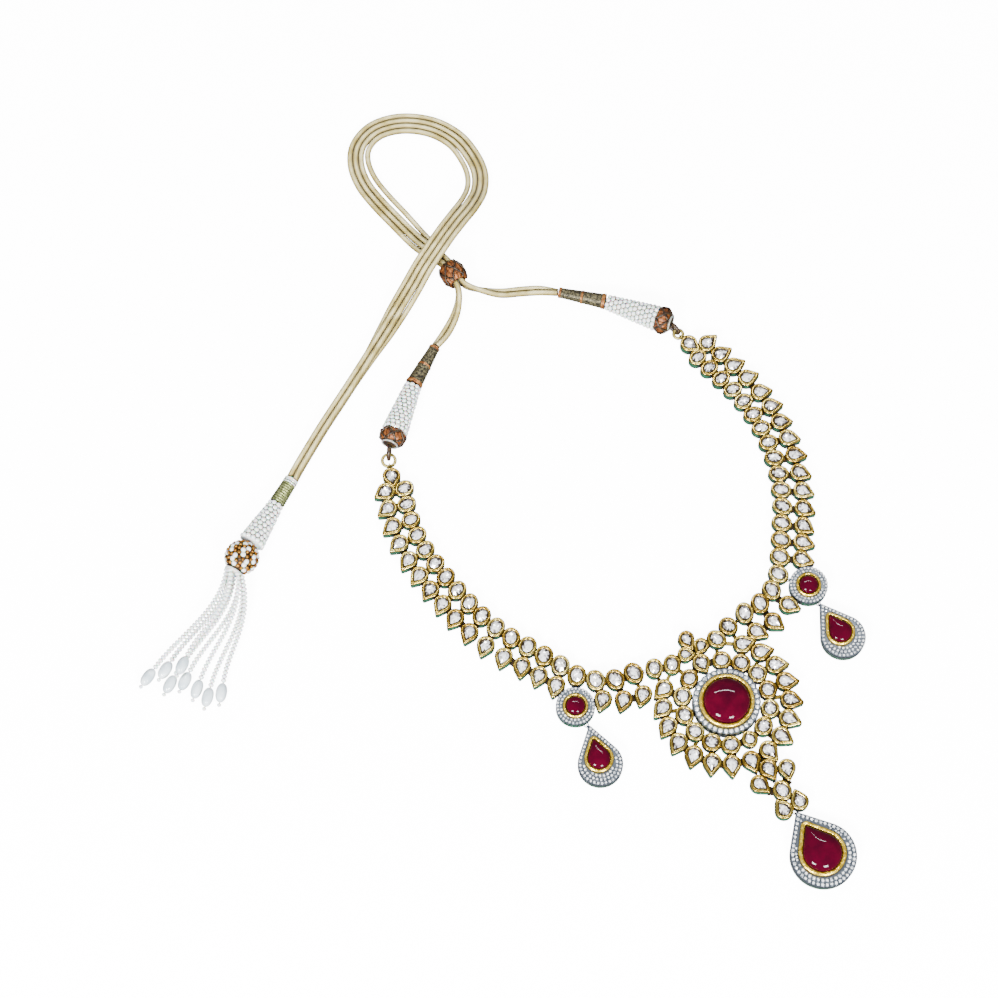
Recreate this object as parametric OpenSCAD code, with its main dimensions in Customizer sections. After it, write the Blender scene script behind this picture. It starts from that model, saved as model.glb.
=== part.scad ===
// Kundan bridal necklace that lies flat on a surface: a round ruby medallion, two strands of
// bezel-set stones, three ruby drops, silk tying cords with a slider, and a seed bead tassel.
// Lengths are in millimetres. The surface is z = 0 and the neck opens toward +Y.

/* [Cups] */
// height of a gold cup above the surface
cup_h = 4.5; // [3.8:0.1:6]
// height at which the cup's rim begins
rim_z = 3.2; // [2.8:0.1:4]
// height of the floor a stone sits on
seat_z = 3.5; // [3.3:0.1:4]
// width of the gold rim round a stone
rim_w = 1.1; // [0.7:0.1:1.6]
// how far the enamelled body stands in from the rim
body_inset = 0.35; // [0.2:0.05:0.6]
// how far the foot stands in from the rim, which leaves room for the link rings
foot_inset = 1.15; // [0.9:0.05:1.3]
// height of the foot
foot_h = 2.5; // [2.2:0.1:2.8]
// rounding of a pear cup's tip
tip_r = 0.45; // [0.3:0.05:0.8]
// top of a stone's table
table_z = 5.2; // [4.8:0.1:6]
// size of the table as a part of the stone
table_part = 0.5; // [0.3:0.05:0.7]
// gap between a stone and its cup
stone_gap = 0.14; // [0.1:0.01:0.3]

/* [Link rings] */
// radius of a link ring to the middle of its wire
eye_r = 0.85; // [0.7:0.05:1]
// radius of the link ring's wire
eye_wire_r = 0.22; // [0.15:0.01:0.3]
// how far two linked rings reach past each other
eye_reach = 0.66; // [0.55:0.01:0.8]
// height of the link rings
eye_z = 1.15; // [1.1:0.05:1.4]
// width of the bars that join soldered cups
bar_w = 1.4; // [1:0.1:2]
// underside of those bars
bar_z = 0.3; // [0.1:0.1:0.8]
// thickness of those bars
bar_h = 1.4; // [1:0.1:1.8]

/* [Medallion] */
// radius of the centre ruby
ruby_r = 9; // [8:0.1:10]
// outer radius of the ruby's gold collet
collet_r = 10.7; // [10:0.1:12]
// outer radius of the small-stone halo
halo_r = 13.4; // [12.5:0.1:14]
// radius of the inner ring of cups
inner_ring_r = 17.1; // [16.5:0.1:18]
// cups in the inner ring
inner_count = 14; // [12:1:16]
// radius of the outer ring of pear cups
outer_ring_r = 24.6; // [23.5:0.1:26]
// pear cups on each side of the outer ring
outer_count = 8; // [6:1:9]
// angle of the first pear cup of the outer ring
outer_start = 43.5; // [38:0.5:50]
// angle between two pear cups of the outer ring
outer_step = 17.75; // [16:0.25:20]

/* [Strands] */
// links in each strand
link_count = 19; // [19:1:19]
// body radius of a strand's pear cups
pear_r = 3.4; // [2.8:0.1:3.6]
// reach of a strand's pear cup from its body's centre to its tip
pear_tip = 5.4; // [4.5:0.1:6]

/* [Round halos and drops] */
// outer radius of the round halo on each strand
round_halo_r = 7.7; // [7:0.1:8.2]
// outer radius of its collet
round_collet_r = 4.9; // [4.5:0.1:5.5]
// radius of its ruby
round_ruby_r = 3.65; // [3:0.05:4]
// body radius of the side drops
side_drop_r = 8.8; // [8:0.1:9.5]
// reach of a side drop from its body's centre to its tip
side_drop_tip = 15.7; // [14:0.1:17]
// body radius of the main drop
main_drop_r = 12.8; // [12:0.1:14]
// reach of the main drop from its body's centre to its tip
main_drop_tip = 19.2; // [17:0.1:21]
// radius of the ruby in the main drop
main_ruby_r = 7.5; // [6.5:0.1:8.5]
// reach of that ruby to its tip
main_ruby_tip = 11.9; // [11:0.1:13]

/* [Cords, slider and tassel] */
// thickness of a silk cord
cord_d = 2.2; // [1.8:0.1:2.4]
// outer radius of the slider
slider_r = 5.4; // [5:0.1:6]
// length of the slider
slider_len = 8.8; // [8:0.1:10]
// radius of the slider's bore
slider_bore_r = 3.05; // [2.9:0.05:3.4]
// radius of the bead ball above the tassel's fringe
ball_r = 7; // [6:0.1:7.5]
// thickness of a seed bead strand of the fringe
fringe_d = 2.3; // [1.8:0.1:2.5]
// length of a rice pearl
pearl_len = 7.8; // [6.5:0.1:8.5]
// thickness of a rice pearl
pearl_d = 4.5; // [4:0.1:5]

/* [Hidden] */
// moves the drawing so that the frame's origin is under the middle of the stiff parts
shift_x = -1.6;
shift_y = -53.3;
lap = 0.1;
// sides of a cup's foot, body, rim and seat
foot_sides = 8;
body_sides = 10;
rim_sides = 14;
seat_sides = 8;
stem = 0.5;
ring_gap = 0.14;
end_gap = 0.12;
ring_z = 1.65;
end_wire_r = 0.38;
loop_wire_r = 0.5;

// strand tables, from the medallion to the free end: links in the row, turn in degrees a link
left_start = [-24.95, 28.27];
left_heading = 169.6;
left_pitch = [7.7, 6.78];
left_rows = [[4, -17.5], [3, 1.1], [3, -5.7], [4, -2.2], [4, -6.6]];
right_start = [25.4, 27.25];
right_heading = 2.4;
right_pitch = [7.36, 6.5];
right_rows = [[4, 16.9], [3, 1], [9, 5.3], [2, 0.5]];

// pear cup of a link: link number from the free end, then the value there
left_lean = [[0, 1], [6, 2], [10, 9], [14, 20], [16, 27], [17, 11], [18, 3]];
left_tips = [[0, 28], [5, 20], [10, 17], [14, 14], [16, -6], [17, -32], [18, -33]];
left_reach = [[0, 7.3], [10, 8.1], [16, 8], [17, 8.6], [18, 9.2]];
right_lean = [[0, -13], [2, -4], [4, 4], [10, 6], [14, 0], [16, 12], [18, 3]];
right_tips = [[0, 9], [3, 26], [8, 28], [12, 27], [14, 12], [16, -4], [17, -17], [18, -30]];
right_reach = [[0, 7.3], [5, 7.8], [10, 8.2], [17, 8.64], [18, 8.5]];
halo_link = 15;

// centres and directions of the pieces at each side
left_halo_at = [-51.5, 28.1];
left_drop_at = [-50.9, 18.7];
left_drop_angle = -105;
right_halo_at = [53.1, 24.2];
right_drop_at = [53, 15.2];
right_drop_angle = -88;
main_drop_at = [0, -50.65];
// the medallion's two cups that the strands hang from
crown_at = [17, 25.9];
crown_left = [-17, 25.9];

// free ends: trio pear, ring, thread cap and the two spans that follow it
left_trio = [-66, 147.2];
left_trio_angle = -108;
left_ring_at = [-63.4, 154.2];
left_ring_r = 2.6;
left_sleeve = [[-55.9, 162.4, 5.6], [-39.3, 176.7, 3.75]];
left_bind = [[-38.8, 177.05, 3.8], [-23, 187.4, 2.45]];
right_trio = [66.85, 136.2];
right_trio_angle = -65;
right_ring_at = [65.8, 142.6];
right_ring_r = 1.9;
right_sleeve = [[61, 151.5, 5.5], [47.5, 168.9, 3.45]];
right_bind = [[47.1, 169.35, 3.5], [33, 182.9, 2.45]];
cap_len = 6.2;
head_z = 6.4;
slider_at = [-0.85, 210.9];

// halos: top of the tray, top of the collet, floor under the ruby
centre_levels = [5.2, 6.9, 4.4];
side_levels = [4.6, 5.7, 3.6];
// rubies: where the dome begins and its top
centre_dome = [6.4, 9.8];
side_dome = [5.3, 7];
side_drop_top = 7.2;
main_drop_top = 8.4;
// collets of the drops: underside, height and width
drop_collet_z = 4;
drop_collet_h = 1.8;
side_collet_w = 1.3;
main_collet_w = 1.7;

// cord bundles: x, y, height of the low cords, spacing, lift angle of the inner cords, extra room
// of the fourth cord. The tables are followed from the bindings to the tassel.
left_pair = [
    [-22.5, 187.75, 1.2, 2.36, 50], [-16, 190.8, 1.15, 2.38, 20], [-9.3, 195.2, 1.3, 2.38, 40],
    [-4.9, 199.6, 2.3, 2.36, 70], [-2.6, 203.4, 3.6, 2.38, 86], [-2.05, 206.6, 4.2, 2.38, 90]
];
right_pair = [
    [32.7, 183.25, 1.2, 2.36, 50], [27.1, 187.8, 1.15, 2.38, 20], [20.6, 191.2, 1.15, 2.38, 15],
    [12.2, 195.1, 1.15, 2.38, 25], [5.2, 200.2, 2.2, 2.36, 65], [1.5, 203.6, 3.6, 2.38, 86],
    [0.35, 206.6, 4.2, 2.38, 90]
];
bundle = [
    [-0.85, 211, 4.2, 2.38, 90, 0], [-0.85, 215.3, 4.15, 2.38, 90, 0], [-1.3, 218.6, 3.6, 2.38, 80, 0],
    [-2.1, 222.6, 2.5, 2.38, 60, 0], [-3.2, 227.4, 1.5, 2.38, 35, 0], [-5, 234, 1.15, 2.38, 10, 0.2],
    [-7.4, 245, 1.15, 2.35, 0, 0.8], [-9.8, 257, 1.15, 2.35, 0, 1], [-10.7, 267, 1.15, 2.35, 0, 1],
    [-8.9, 276, 1.15, 2.35, 0, 0.6], [-4.3, 282.6, 1.15, 2.35, 0, 0.2], [3.5, 285.9, 1.15, 2.35, 0, 0],
    [12, 285, 1.15, 2.35, 0, 0], [20, 281, 1.15, 2.35, 0, 0], [27, 274.4, 1.15, 2.35, 0, 0],
    [31.6, 265.5, 1.15, 2.35, 0, 0], [32.8, 256, 1.15, 2.35, 0, 0.3], [31.6, 247.5, 1.5, 2.35, 0, 0.5],
    [27.3, 240.2, 3, 2.35, 0, 0.4], [20.8, 235, 5.6, 2.3, 0, 0.2], [13, 230.9, 7.8, 2.3, 0, 0],
    [5.5, 227.2, 8.6, 2.28, 0, 0], [-2.5, 223, 8.6, 2.28, 0, 0], [-10.5, 218.8, 7.9, 2.28, 0, 0],
    [-19, 213.9, 5.6, 2.34, 10, 0], [-28, 209, 3, 2.38, 25, 0], [-37, 203.8, 1.5, 2.38, 50, 0],
    [-46.5, 198.3, 1.15, 2.36, 75, 0], [-57.8, 191.8, 1.15, 2.3, 90, 0], [-67.8, 186.2, 1.15, 2.3, 90, 0],
    [-77.9, 180.6, 1.15, 2.3, 90, 0], [-88, 174.6, 1.15, 2.3, 90, 0], [-96.1, 169.6, 1.15, 2.3, 90, 0],
    [-100.9, 166.4, 1.2, 2.3, 90, 0]
];

// tassel points on its axis, with the height of the axis there
tassel_collar = [-101.1, 166.3, 2.95];
tassel_wrap = [-103.2, 165, 3.05];
tassel_sleeve_a = [-111.1, 160.3, 3.6];
tassel_sleeve_b = [-128.3, 149.76, 6];
tassel_ball_at = [-134.4, 146, 7.1];
tassel_heading = -149;
// fringe strands: turn on the head, reach and sideways place of the pearl, height of the pearl
fringe = [
    [180, 52.9, -8.2, 2.35], [-140, 47.2, -3.8, 2.35], [-100, 51.3, 0.8, 2.35], [120, 43.1, 1.9, 5.9],
    [-60, 47.4, 5.2, 2.35], [60, 47.9, 11, 2.35], [-25, 48.7, 16.3, 2.35], [15, 44.6, 20.1, 2.35]
];
// how far the strands swing to one side on their way
fringe_bow = 25;
head_ring_r = 3.3;
head_r = 4.2;
// the ball is cut flat where the fringe's head sits
ball_cut = 5.7;

// small hand-made difference from stone to stone, between -1 and 1
function wobble(k) = sin(137 * k + 20);
function unit(a) = [cos(a), sin(a)];
function angle_of(v) = atan2(v.y, v.x);
function total(list, n) = n <= 0 ? 0 : list[n - 1] + total(list, n - 1);

// outlines, each with its own centre at the origin
function oval_outline(len, wid, inset, n) =
    [for (i = [0 : n - 1]) [(len / 2 - inset) * cos(360 * i / n), (wid / 2 - inset) * sin(360 * i / n)]];
function pear_slope(r, tip) = (r - tip_r) / (tip - tip_r);
// a pear whose tip points along +X; a deep inset leaves a sharp tip
function pear_outline(r, tip, inset, n) =
    let (
        s = pear_slope(r, tip),
        big = r - inset,
        small = tip_r - inset,
        reach = (big - small) / s,
        a = 90 - asin(s)
    )
    concat(
        inset > tip_r ? [[big / s, 0]] : [for (i = [-1 : 1]) [reach + small * cos(a * i), small * sin(a * i)]],
        [for (i = [0 : n]) let (b = a + (360 - 2 * a) * i / n) [big * cos(b), big * sin(b)]]
    );

// a cup is [kind, centre, angle of its long axis, size, size]: an oval's length and width or a
// pear's body radius and tip reach
function cup_outline(c, inset, n) =
    c[0] == "oval" ? oval_outline(c[3], c[4], inset, n) : pear_outline(c[3], c[4], inset, max(n - 6, 6));
function stone_outline(c) =
    let (inset = rim_w + stone_gap)
    c[0] == "oval"
        ? oval_outline(c[3], c[4], inset, 8)
        : let (s = pear_slope(c[3], c[4]), big = c[3] - inset, a = 90 - asin(s))
          concat([[big / s - 0.2, 0]], [for (i = [0 : 6]) big * unit(a + (360 - 2 * a) * i / 6)]);

// headings and points along a strand, from the medallion to the free end
function turns(rows) = [for (row = rows, i = [1 : row[0]]) row[1]];
function headings(first, rows) =
    let (t = turns(rows)) [for (i = [0 : len(t) - 1]) first + total(t, i + 1) - t[0]];
function walk(start, heads, pitch, i) =
    i == 0 ? start
    : walk(start, heads, pitch, i - 1)
      + (pitch[0] + (pitch[1] - pitch[0]) * (i - 1) / (len(heads) - 1)) * unit(heads[i - 1]);
function strand_points(start, first, rows, pitch) =
    let (heads = headings(first, rows)) [for (k = [0 : link_count - 1]) walk(start, heads, pitch, link_count - 1 - k)];
// heading at link k, counted from the free end, as the mean of its two steps
function link_heading(p, k) = angle_of(p[max(k - 1, 0)] - p[min(k + 1, link_count - 1)]);

left_points = strand_points(left_start, left_heading, left_rows, left_pitch);
right_points = strand_points(right_start, right_heading, right_rows, right_pitch);

function along(k, a, b) = a + (b - a) * k / (link_count - 1);
// side is 1 for the left strand and -1 for the right one
function strand_oval(p, k, side) =
    let (normal = link_heading(p, k) + 90 * side)
    ["oval", p[k], normal + side * (along(k, 10, 24) + 5 * wobble(k)),
        along(k, 7.5, 8.3), side > 0 ? along(k, 6.35, 7.2) : along(k, 6.05, 6.95)];
function strand_pear(p, k, side, lean, tips, reach) =
    let (
        normal = link_heading(p, k) + 90 * side,
        at = p[k] + lookup(k, reach) * unit(normal + side * lookup(k, lean))
    )
    ["pear", at, normal + side * (lookup(k, tips) + 5 * wobble(k + 7)), pear_r, pear_tip];

left_ovals = [for (k = [0 : link_count - 1]) strand_oval(left_points, k, 1)];
right_ovals = [for (k = [0 : link_count - 1]) strand_oval(right_points, k, -1)];
left_pears = [for (k = [0 : link_count - 1]) strand_pear(left_points, k, 1, left_lean, left_tips, left_reach)];
right_pears = [for (k = [0 : link_count - 1]) strand_pear(right_points, k, -1, right_lean, right_tips, right_reach)];
left_trio_cup = ["pear", left_trio, left_trio_angle, pear_r, 5.2];
right_trio_cup = ["pear", right_trio, right_trio_angle, pear_r, 5.2];

// medallion cups
inner_cups = [for (i = [0 : inner_count - 1])
    let (a = 90 + 360 * i / inner_count)
    i == 0 ? ["pear", [0, inner_ring_r + 1.5], -90, pear_r, 4.7]
    : i == inner_count / 2 ? ["pear", [0, -inner_ring_r], 90, 3.1, 3.6]
    : ["oval", inner_ring_r * unit(a), a + 90 + 6 * wobble(i), 7.4, 6.95]];
function outer_turn(i) = 60 * pow(1 - i / (outer_count - 1), 1.6);
outer_cups = [for (side = [1, -1], i = [0 : outer_count - 1])
    let (a = outer_start - outer_step * i, at = outer_ring_r * unit(a), tip = a - outer_turn(i) + 3 * wobble(i))
    ["pear", [side * at.x, at.y], side > 0 ? tip : 180 - tip, 3.5, 5.6]];
crown_cups = [
    ["oval", crown_left, 62, 7.6, 6.6], ["oval", crown_at, 118, 7.6, 6.6],
    ["oval", [-10.2, 23.7], 66, 7.6, 6.6], ["oval", [10.2, 23.7], 114, 7.6, 6.6],
    ["pear", [0, 29.8], -90, 3.1, 5.2], ["pear", [3.7, 24.6], 214, 2.85, 4.15], ["pear", [-3.7, 24.6], -34, 2.85, 4.15],
    ["pear", [0, -30.4], -90, 3.45, 5.5]
];
medallion_cups = concat(inner_cups, outer_cups, crown_cups);
pendant_cups = [
    ["pear", [6.3, -33.9], -111, 3.35, 5.25], ["pear", [-6.3, -33.9], -69, 3.35, 5.25],
    ["oval", [0, -40.6], 90, 8, 6.8],
    ["pear", [3.5, -47.6], 82, 3.35, 4.95], ["pear", [-3.5, -47.6], 98, 3.35, 4.95]
];
medallion_joint = [0, -36.2];
drop_joint = [0, -50.3];

// routes of the cords
function across(rows, i) =
    let (d = rows[min(i + 1, len(rows) - 1)] - rows[max(i - 1, 0)]) [-d[1], d[0], 0] / norm([d[0], d[1]]);
function flat_point(row) = [row[0], row[1], row[2]];
function pair_route(rows, side, inner) = [for (i = [0 : len(rows) - 1])
    let (row = rows[i], u = (inner ? -0.5 : 0.5) * row[3] * cos(row[4]))
    flat_point(row) + side * u * across(rows, i) + [0, 0, inner ? row[3] * sin(row[4]) : 0]];
function bundle_route(side, inner) = [for (i = [0 : len(bundle) - 1])
    let (row = bundle[i], out = inner ? 0 : row[3] * cos(row[4]) + (side < 0 ? row[5] : 0))
    flat_point(row) + side * (row[3] / 2 + out) * across(bundle, i) + [0, 0, inner ? row[3] * sin(row[4]) : 0]];
function between(a, b, c, d, t) =
    0.5 * (2 * b + (c - a) * t + (2 * a - 5 * b + 4 * c - d) * t * t + (3 * b - a - 3 * c + d) * t * t * t);
function smooth(p, n) = concat(
    [for (i = [0 : len(p) - 2], j = [0 : n - 1])
        between(p[max(i - 1, 0)], p[i], p[i + 1], p[min(i + 2, len(p) - 1)], j / n)],
    [p[len(p) - 1]]
);
function cord_route(side, inner) =
    smooth(concat(pair_route(side > 0 ? left_pair : right_pair, side, inner), bundle_route(side, inner)), 2);

// solids from rings of points
function quads(m, n) = [for (i = [0 : m - 2], j = [0 : n - 1])
    let (k = (j + 1) % n)
    each [[i * n + j, (i + 1) * n + j, (i + 1) * n + k], [i * n + j, (i + 1) * n + k, i * n + k]]];
module stack(points, m, n) {
    polyhedron(points, concat([[for (j = [0 : n - 1]) j]], [[for (j = [0 : n - 1]) m * n - 1 - j]], quads(m, n)));
}
function tube_ring(path, i, r, n) =
    let (
        t = path[min(i + 1, len(path) - 1)] - path[max(i - 1, 0)],
        s = [-t.y, t.x, 0] / norm([t.x, t.y]),
        v = cross(t, s) / norm(t)
    )
    [for (j = [0 : n - 1]) path[i] + r * (cos(360 * (j + 0.5) / n) * s + sin(360 * (j + 0.5) / n) * v)];
module tube(path, radii, n = 8) {
    stack([for (i = [0 : len(path) - 1]) each tube_ring(path, i, radii[i], n)], len(path), n);
}
function lifted(points, z, part, middle) = [for (p = points)
    [middle + (p.x - middle) * part, p.y * part, z]];

module in_frame() {
    translate([shift_x, shift_y, 0]) children();
}
module ring(r, wire) {
    rotate_extrude($fn = 32) translate([r, 0]) circle(wire, $fn = 20);
}
// stands a solid of revolution, drawn along +Z from the origin, on the line from a to b
module on_line(a, b) {
    d = b - a;
    translate(a) rotate([0, acos(d.z / norm(d)), atan2(d.y, d.x)]) children();
}
module rod(a, b, r1, r2) {
    on_line(a, b) cylinder(h = norm(b - a), r1 = r1, r2 = r2, $fn = 48);
}
module bar(a, b) {
    translate([a.x, a.y, bar_z]) rotate([0, 0, angle_of(b - a)]) translate([0, -bar_w / 2, 0])
        cube([norm(b - a), bar_w, bar_h]);
}
// link ring on a stem from a cup's centre to the middle of a joint
module eye(from, joint, upright) {
    near = norm(joint - from) + eye_reach / 2 - 2 * eye_r;
    translate([from.x, from.y, eye_z]) rotate([0, 0, angle_of(joint - from)]) {
        translate([0, -stem / 2, -stem / 2]) cube([near, stem, stem]);
        translate([near + eye_r, 0, 0]) rotate([upright ? 90 : 0, 0, 0]) ring(eye_r, eye_wire_r);
    }
}

module cup(c) {
    translate([c[1].x, c[1].y, 0]) rotate([0, 0, c[2]]) {
        linear_extrude(foot_h) polygon(cup_outline(c, foot_inset, foot_sides));
        translate([0, 0, foot_h - lap]) linear_extrude(seat_z - foot_h + lap) polygon(cup_outline(c, body_inset, body_sides));
        translate([0, 0, rim_z]) linear_extrude(cup_h - rim_z) difference() {
            polygon(cup_outline(c, 0, rim_sides));
            polygon(cup_outline(c, rim_w, seat_sides));
        }
    }
}
module stone(c) {
    points = stone_outline(c);
    middle = c[0] == "pear" ? 0.3 : 0;
    base = seat_z + stone_gap;
    translate([c[1].x, c[1].y, 0]) rotate([0, 0, c[2]]) stack(
        concat(
            lifted(points, base, 0.94, middle),
            lifted(points, base + 0.7, 1, middle),
            lifted(points, table_z, table_part, middle)
        ),
        3, len(points)
    );
}
// levels of a halo are the top of its tray, the top of its collet and the floor under its ruby
module round_halo(at, outer, collet, ruby, levels) {
    foot = outer - foot_inset;
    hole = ruby + ring_gap;
    translate([at.x, at.y, 0]) rotate_extrude($fn = 96) polygon([
        [0, 0], [foot, 0], [foot, foot_h], [outer, foot_h], [outer, levels[0]], [collet, levels[0]],
        [collet, levels[1]], [hole, levels[1]], [hole, levels[2]], [0, levels[2]]
    ]);
}
module round_ruby(at, r, base, dome) {
    translate([at.x, at.y, 0]) rotate_extrude($fn = 96) polygon(concat(
        [[0, base], [r, base]],
        [for (i = [0 : 6]) [r * cos(15 * i), dome[0] + (dome[1] - dome[0]) * sin(15 * i)]]
    ));
}
// drops are drawn from their tip, along +X
module drop_shape(r, tip, centre, inset) {
    translate([centre, 0]) rotate(180) polygon(pear_outline(r, tip, inset, 24));
}
module drop_halo(at, angle, outer, ruby, centre, collet_w) {
    translate([at.x, at.y, 0]) rotate([0, 0, angle]) {
        linear_extrude(foot_h) drop_shape(outer.x, outer.y, outer.y, foot_inset);
        translate([0, 0, foot_h - lap]) linear_extrude(side_levels[0] - foot_h + lap) difference() {
            drop_shape(outer.x, outer.y, outer.y, 0);
            drop_shape(ruby.x, ruby.y, centre, -ring_gap);
        }
        linear_extrude(side_levels[2]) drop_shape(ruby.x, ruby.y, centre, -collet_w / 2);
        translate([0, 0, drop_collet_z]) linear_extrude(drop_collet_h) difference() {
            drop_shape(ruby.x, ruby.y, centre, -collet_w);
            drop_shape(ruby.x, ruby.y, centre, -ring_gap);
        }
    }
}
module drop_ruby(at, angle, ruby, centre, top) {
    points = pear_outline(ruby.x, ruby.y, 0, 16);
    base = side_levels[2] + 0.15;
    levels = [[base, 1], [5.4, 1], [6.2, 0.93], [top - 0.7, 0.76], [top - 0.2, 0.5], [top, 0.2]];
    translate([at.x, at.y, 0]) rotate([0, 0, angle]) translate([centre, 0, 0]) rotate([0, 0, 180])
        stack([for (level = levels) each lifted(points, level[0], level[1], 1)], len(levels), len(points));
}
function drop_centre(at, angle, tip) = at + tip * unit(angle);
function toward(a, b, reach) = a + reach * (b - a) / norm(b - a);

gold = [0.83, 0.62, 0.22];
polki = [0.85, 0.86, 0.84];
ruby_red = [0.62, 0.02, 0.12];
silver = [0.75, 0.78, 0.82];
silk = [0.86, 0.83, 0.7];
copper = [0.6, 0.3, 0.16];
bronze = [0.27, 0.24, 0.14];
white = [0.92, 0.92, 0.9];
side_outer = [side_drop_r, side_drop_tip];
side_ruby = [4.35, 7.65];
side_ruby_centre = 13.6;
main_outer = [main_drop_r, main_drop_tip];
main_ruby = [main_ruby_r, main_ruby_tip];
main_ruby_centre = 18.3;
left_halo_joint = toward(left_halo_at, left_points[halo_link], round_halo_r + 0.3);
right_halo_joint = toward(right_halo_at, right_points[halo_link], round_halo_r + 0.3);
left_drop_joint = left_halo_at + [0.3, -round_halo_r - 0.8];
right_drop_joint = right_halo_at + [0, -round_halo_r - 0.6];

module medallion_frame() {
    in_frame() color(gold) {
        for (c = medallion_cups) cup(c);
        for (r = [inner_ring_r, outer_ring_r]) translate([0, 0, bar_z]) linear_extrude(bar_h) difference() {
            circle(r + bar_w / 2, $fn = 96);
            circle(r - bar_w / 2, $fn = 96);
        }
        for (i = [0 : 7]) bar(inner_ring_r * unit(22.5 + 45 * i), outer_ring_r * unit(22.5 + 45 * i));
        for (side = [-1, 1]) {
            bar([side * 17.8, 17], [side * crown_at.x, crown_at.y]);
            bar([side * crown_at.x, crown_at.y], [side * 10.2, 23.7]);
            bar([side * 3.7, 24.6], [0, 29.8]);
        }
        bar([0, -outer_ring_r], [0, -30.4]);
        eye(crown_left, (crown_left + left_start) / 2, false);
        eye(crown_at, (crown_at + right_start) / 2, false);
        eye([0, -30.4], medallion_joint, false);
    }
}
module medallion_stones() {
    in_frame() color(polki) for (c = medallion_cups) stone(c);
}
module centre_halo() {
    in_frame() color(silver)
        round_halo([0, 0], halo_r, collet_r, ruby_r, centre_levels);
}
module centre_ruby() {
    in_frame() color(ruby_red) round_ruby([0, 0], ruby_r, centre_levels[2] + ring_gap, centre_dome);
}

module strand_links(ovals, pears, trio, start_at, halo_joint, ring_at, gold_r) {
    for (k = [0 : link_count - 1]) {
        p = ovals[k][1];
        cup(ovals[k]);
        if (k != halo_link) {
            cup(pears[k]);
            bar(p, pears[k][1]);
        }
        eye(p, (p + (k == link_count - 1 ? start_at : ovals[k + 1][1])) / 2, true);
        if (k > 0) eye(p, (p + ovals[k - 1][1]) / 2, false);
    }
    eye(ovals[halo_link][1], halo_joint, false);
    cup(trio);
    bar(ovals[0][1], trio[1]);
    // upright end loop round the gold ring
    gap = norm(ring_at - trio[1]) - gold_r;
    translate([trio[1].x, trio[1].y, ring_z]) rotate([0, 0, angle_of(ring_at - trio[1])]) {
        translate([0, -0.3, -0.9]) cube([gap - 1, 0.6, 1.2]);
        translate([gap - 0.02, 0, 0]) rotate([90, 0, 0]) ring(1, 0.3);
    }
}
module left_strand_links() {
    in_frame() color(gold) strand_links(left_ovals, left_pears, left_trio_cup, crown_left,
        left_halo_joint, left_ring_at, left_ring_r);
}
module right_strand_links() {
    in_frame() color(gold) strand_links(right_ovals, right_pears, right_trio_cup, crown_at,
        right_halo_joint, right_ring_at, right_ring_r);
}
module strand_stones(ovals, pears, trio) {
    for (k = [0 : link_count - 1]) {
        stone(ovals[k]);
        if (k != halo_link) stone(pears[k]);
    }
    stone(trio);
}
module left_strand_stones() {
    in_frame() color(polki) strand_stones(left_ovals, left_pears, left_trio_cup);
}
module right_strand_stones() {
    in_frame() color(polki) strand_stones(right_ovals, right_pears, right_trio_cup);
}

module side_halo(at, link_joint, drop_joint_at) {
    round_halo(at, round_halo_r, round_collet_r, round_ruby_r, side_levels);
    eye(at, link_joint, true);
    eye(at, drop_joint_at, false);
}
module left_round_halo() {
    in_frame() color(silver) side_halo(left_halo_at, left_halo_joint, left_drop_joint);
}
module right_round_halo() {
    in_frame() color(silver) side_halo(right_halo_at, right_halo_joint, right_drop_joint);
}
module side_round_ruby(at) {
    round_ruby(at, round_ruby_r, side_levels[2] + ring_gap, side_dome);
}
module left_round_ruby() {
    in_frame() color(ruby_red) side_round_ruby(left_halo_at);
}
module right_round_ruby() {
    in_frame() color(ruby_red) side_round_ruby(right_halo_at);
}
module side_drop(at, angle, joint) {
    drop_halo(at, angle, side_outer, side_ruby, side_ruby_centre, side_collet_w);
    eye(drop_centre(at, angle, side_drop_tip), joint, true);
}
module left_drop_halo() {
    in_frame() color(silver) side_drop(left_drop_at, left_drop_angle, left_drop_joint);
}
module right_drop_halo() {
    in_frame() color(silver) side_drop(right_drop_at, right_drop_angle, right_drop_joint);
}
module left_drop_ruby() {
    in_frame() color(ruby_red) drop_ruby(left_drop_at, left_drop_angle, side_ruby, side_ruby_centre, side_drop_top);
}
module right_drop_ruby() {
    in_frame() color(ruby_red) drop_ruby(right_drop_at, right_drop_angle, side_ruby, side_ruby_centre, side_drop_top);
}
module pendant_link() {
    middle = pendant_cups[2][1];
    in_frame() color(gold) {
        for (c = pendant_cups) cup(c);
        for (i = [0, 1, 3, 4]) bar(middle, pendant_cups[i][1]);
        bar([-3.5, -47.2], [3.5, -47.2]);
        eye(middle, medallion_joint, true);
        eye([0, -47.2], drop_joint, false);
    }
}
module pendant_stones() {
    in_frame() color(polki) for (c = pendant_cups) stone(c);
}
module main_drop_halo() {
    in_frame() color(silver) {
        drop_halo(main_drop_at, -90, main_outer, main_ruby, main_ruby_centre, main_collet_w);
        eye(drop_centre(main_drop_at, -90, main_drop_tip), drop_joint, true);
    }
}
module main_drop_ruby() {
    in_frame() color(ruby_red) drop_ruby(main_drop_at, -90, main_ruby, main_ruby_centre, main_drop_top);
}

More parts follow.
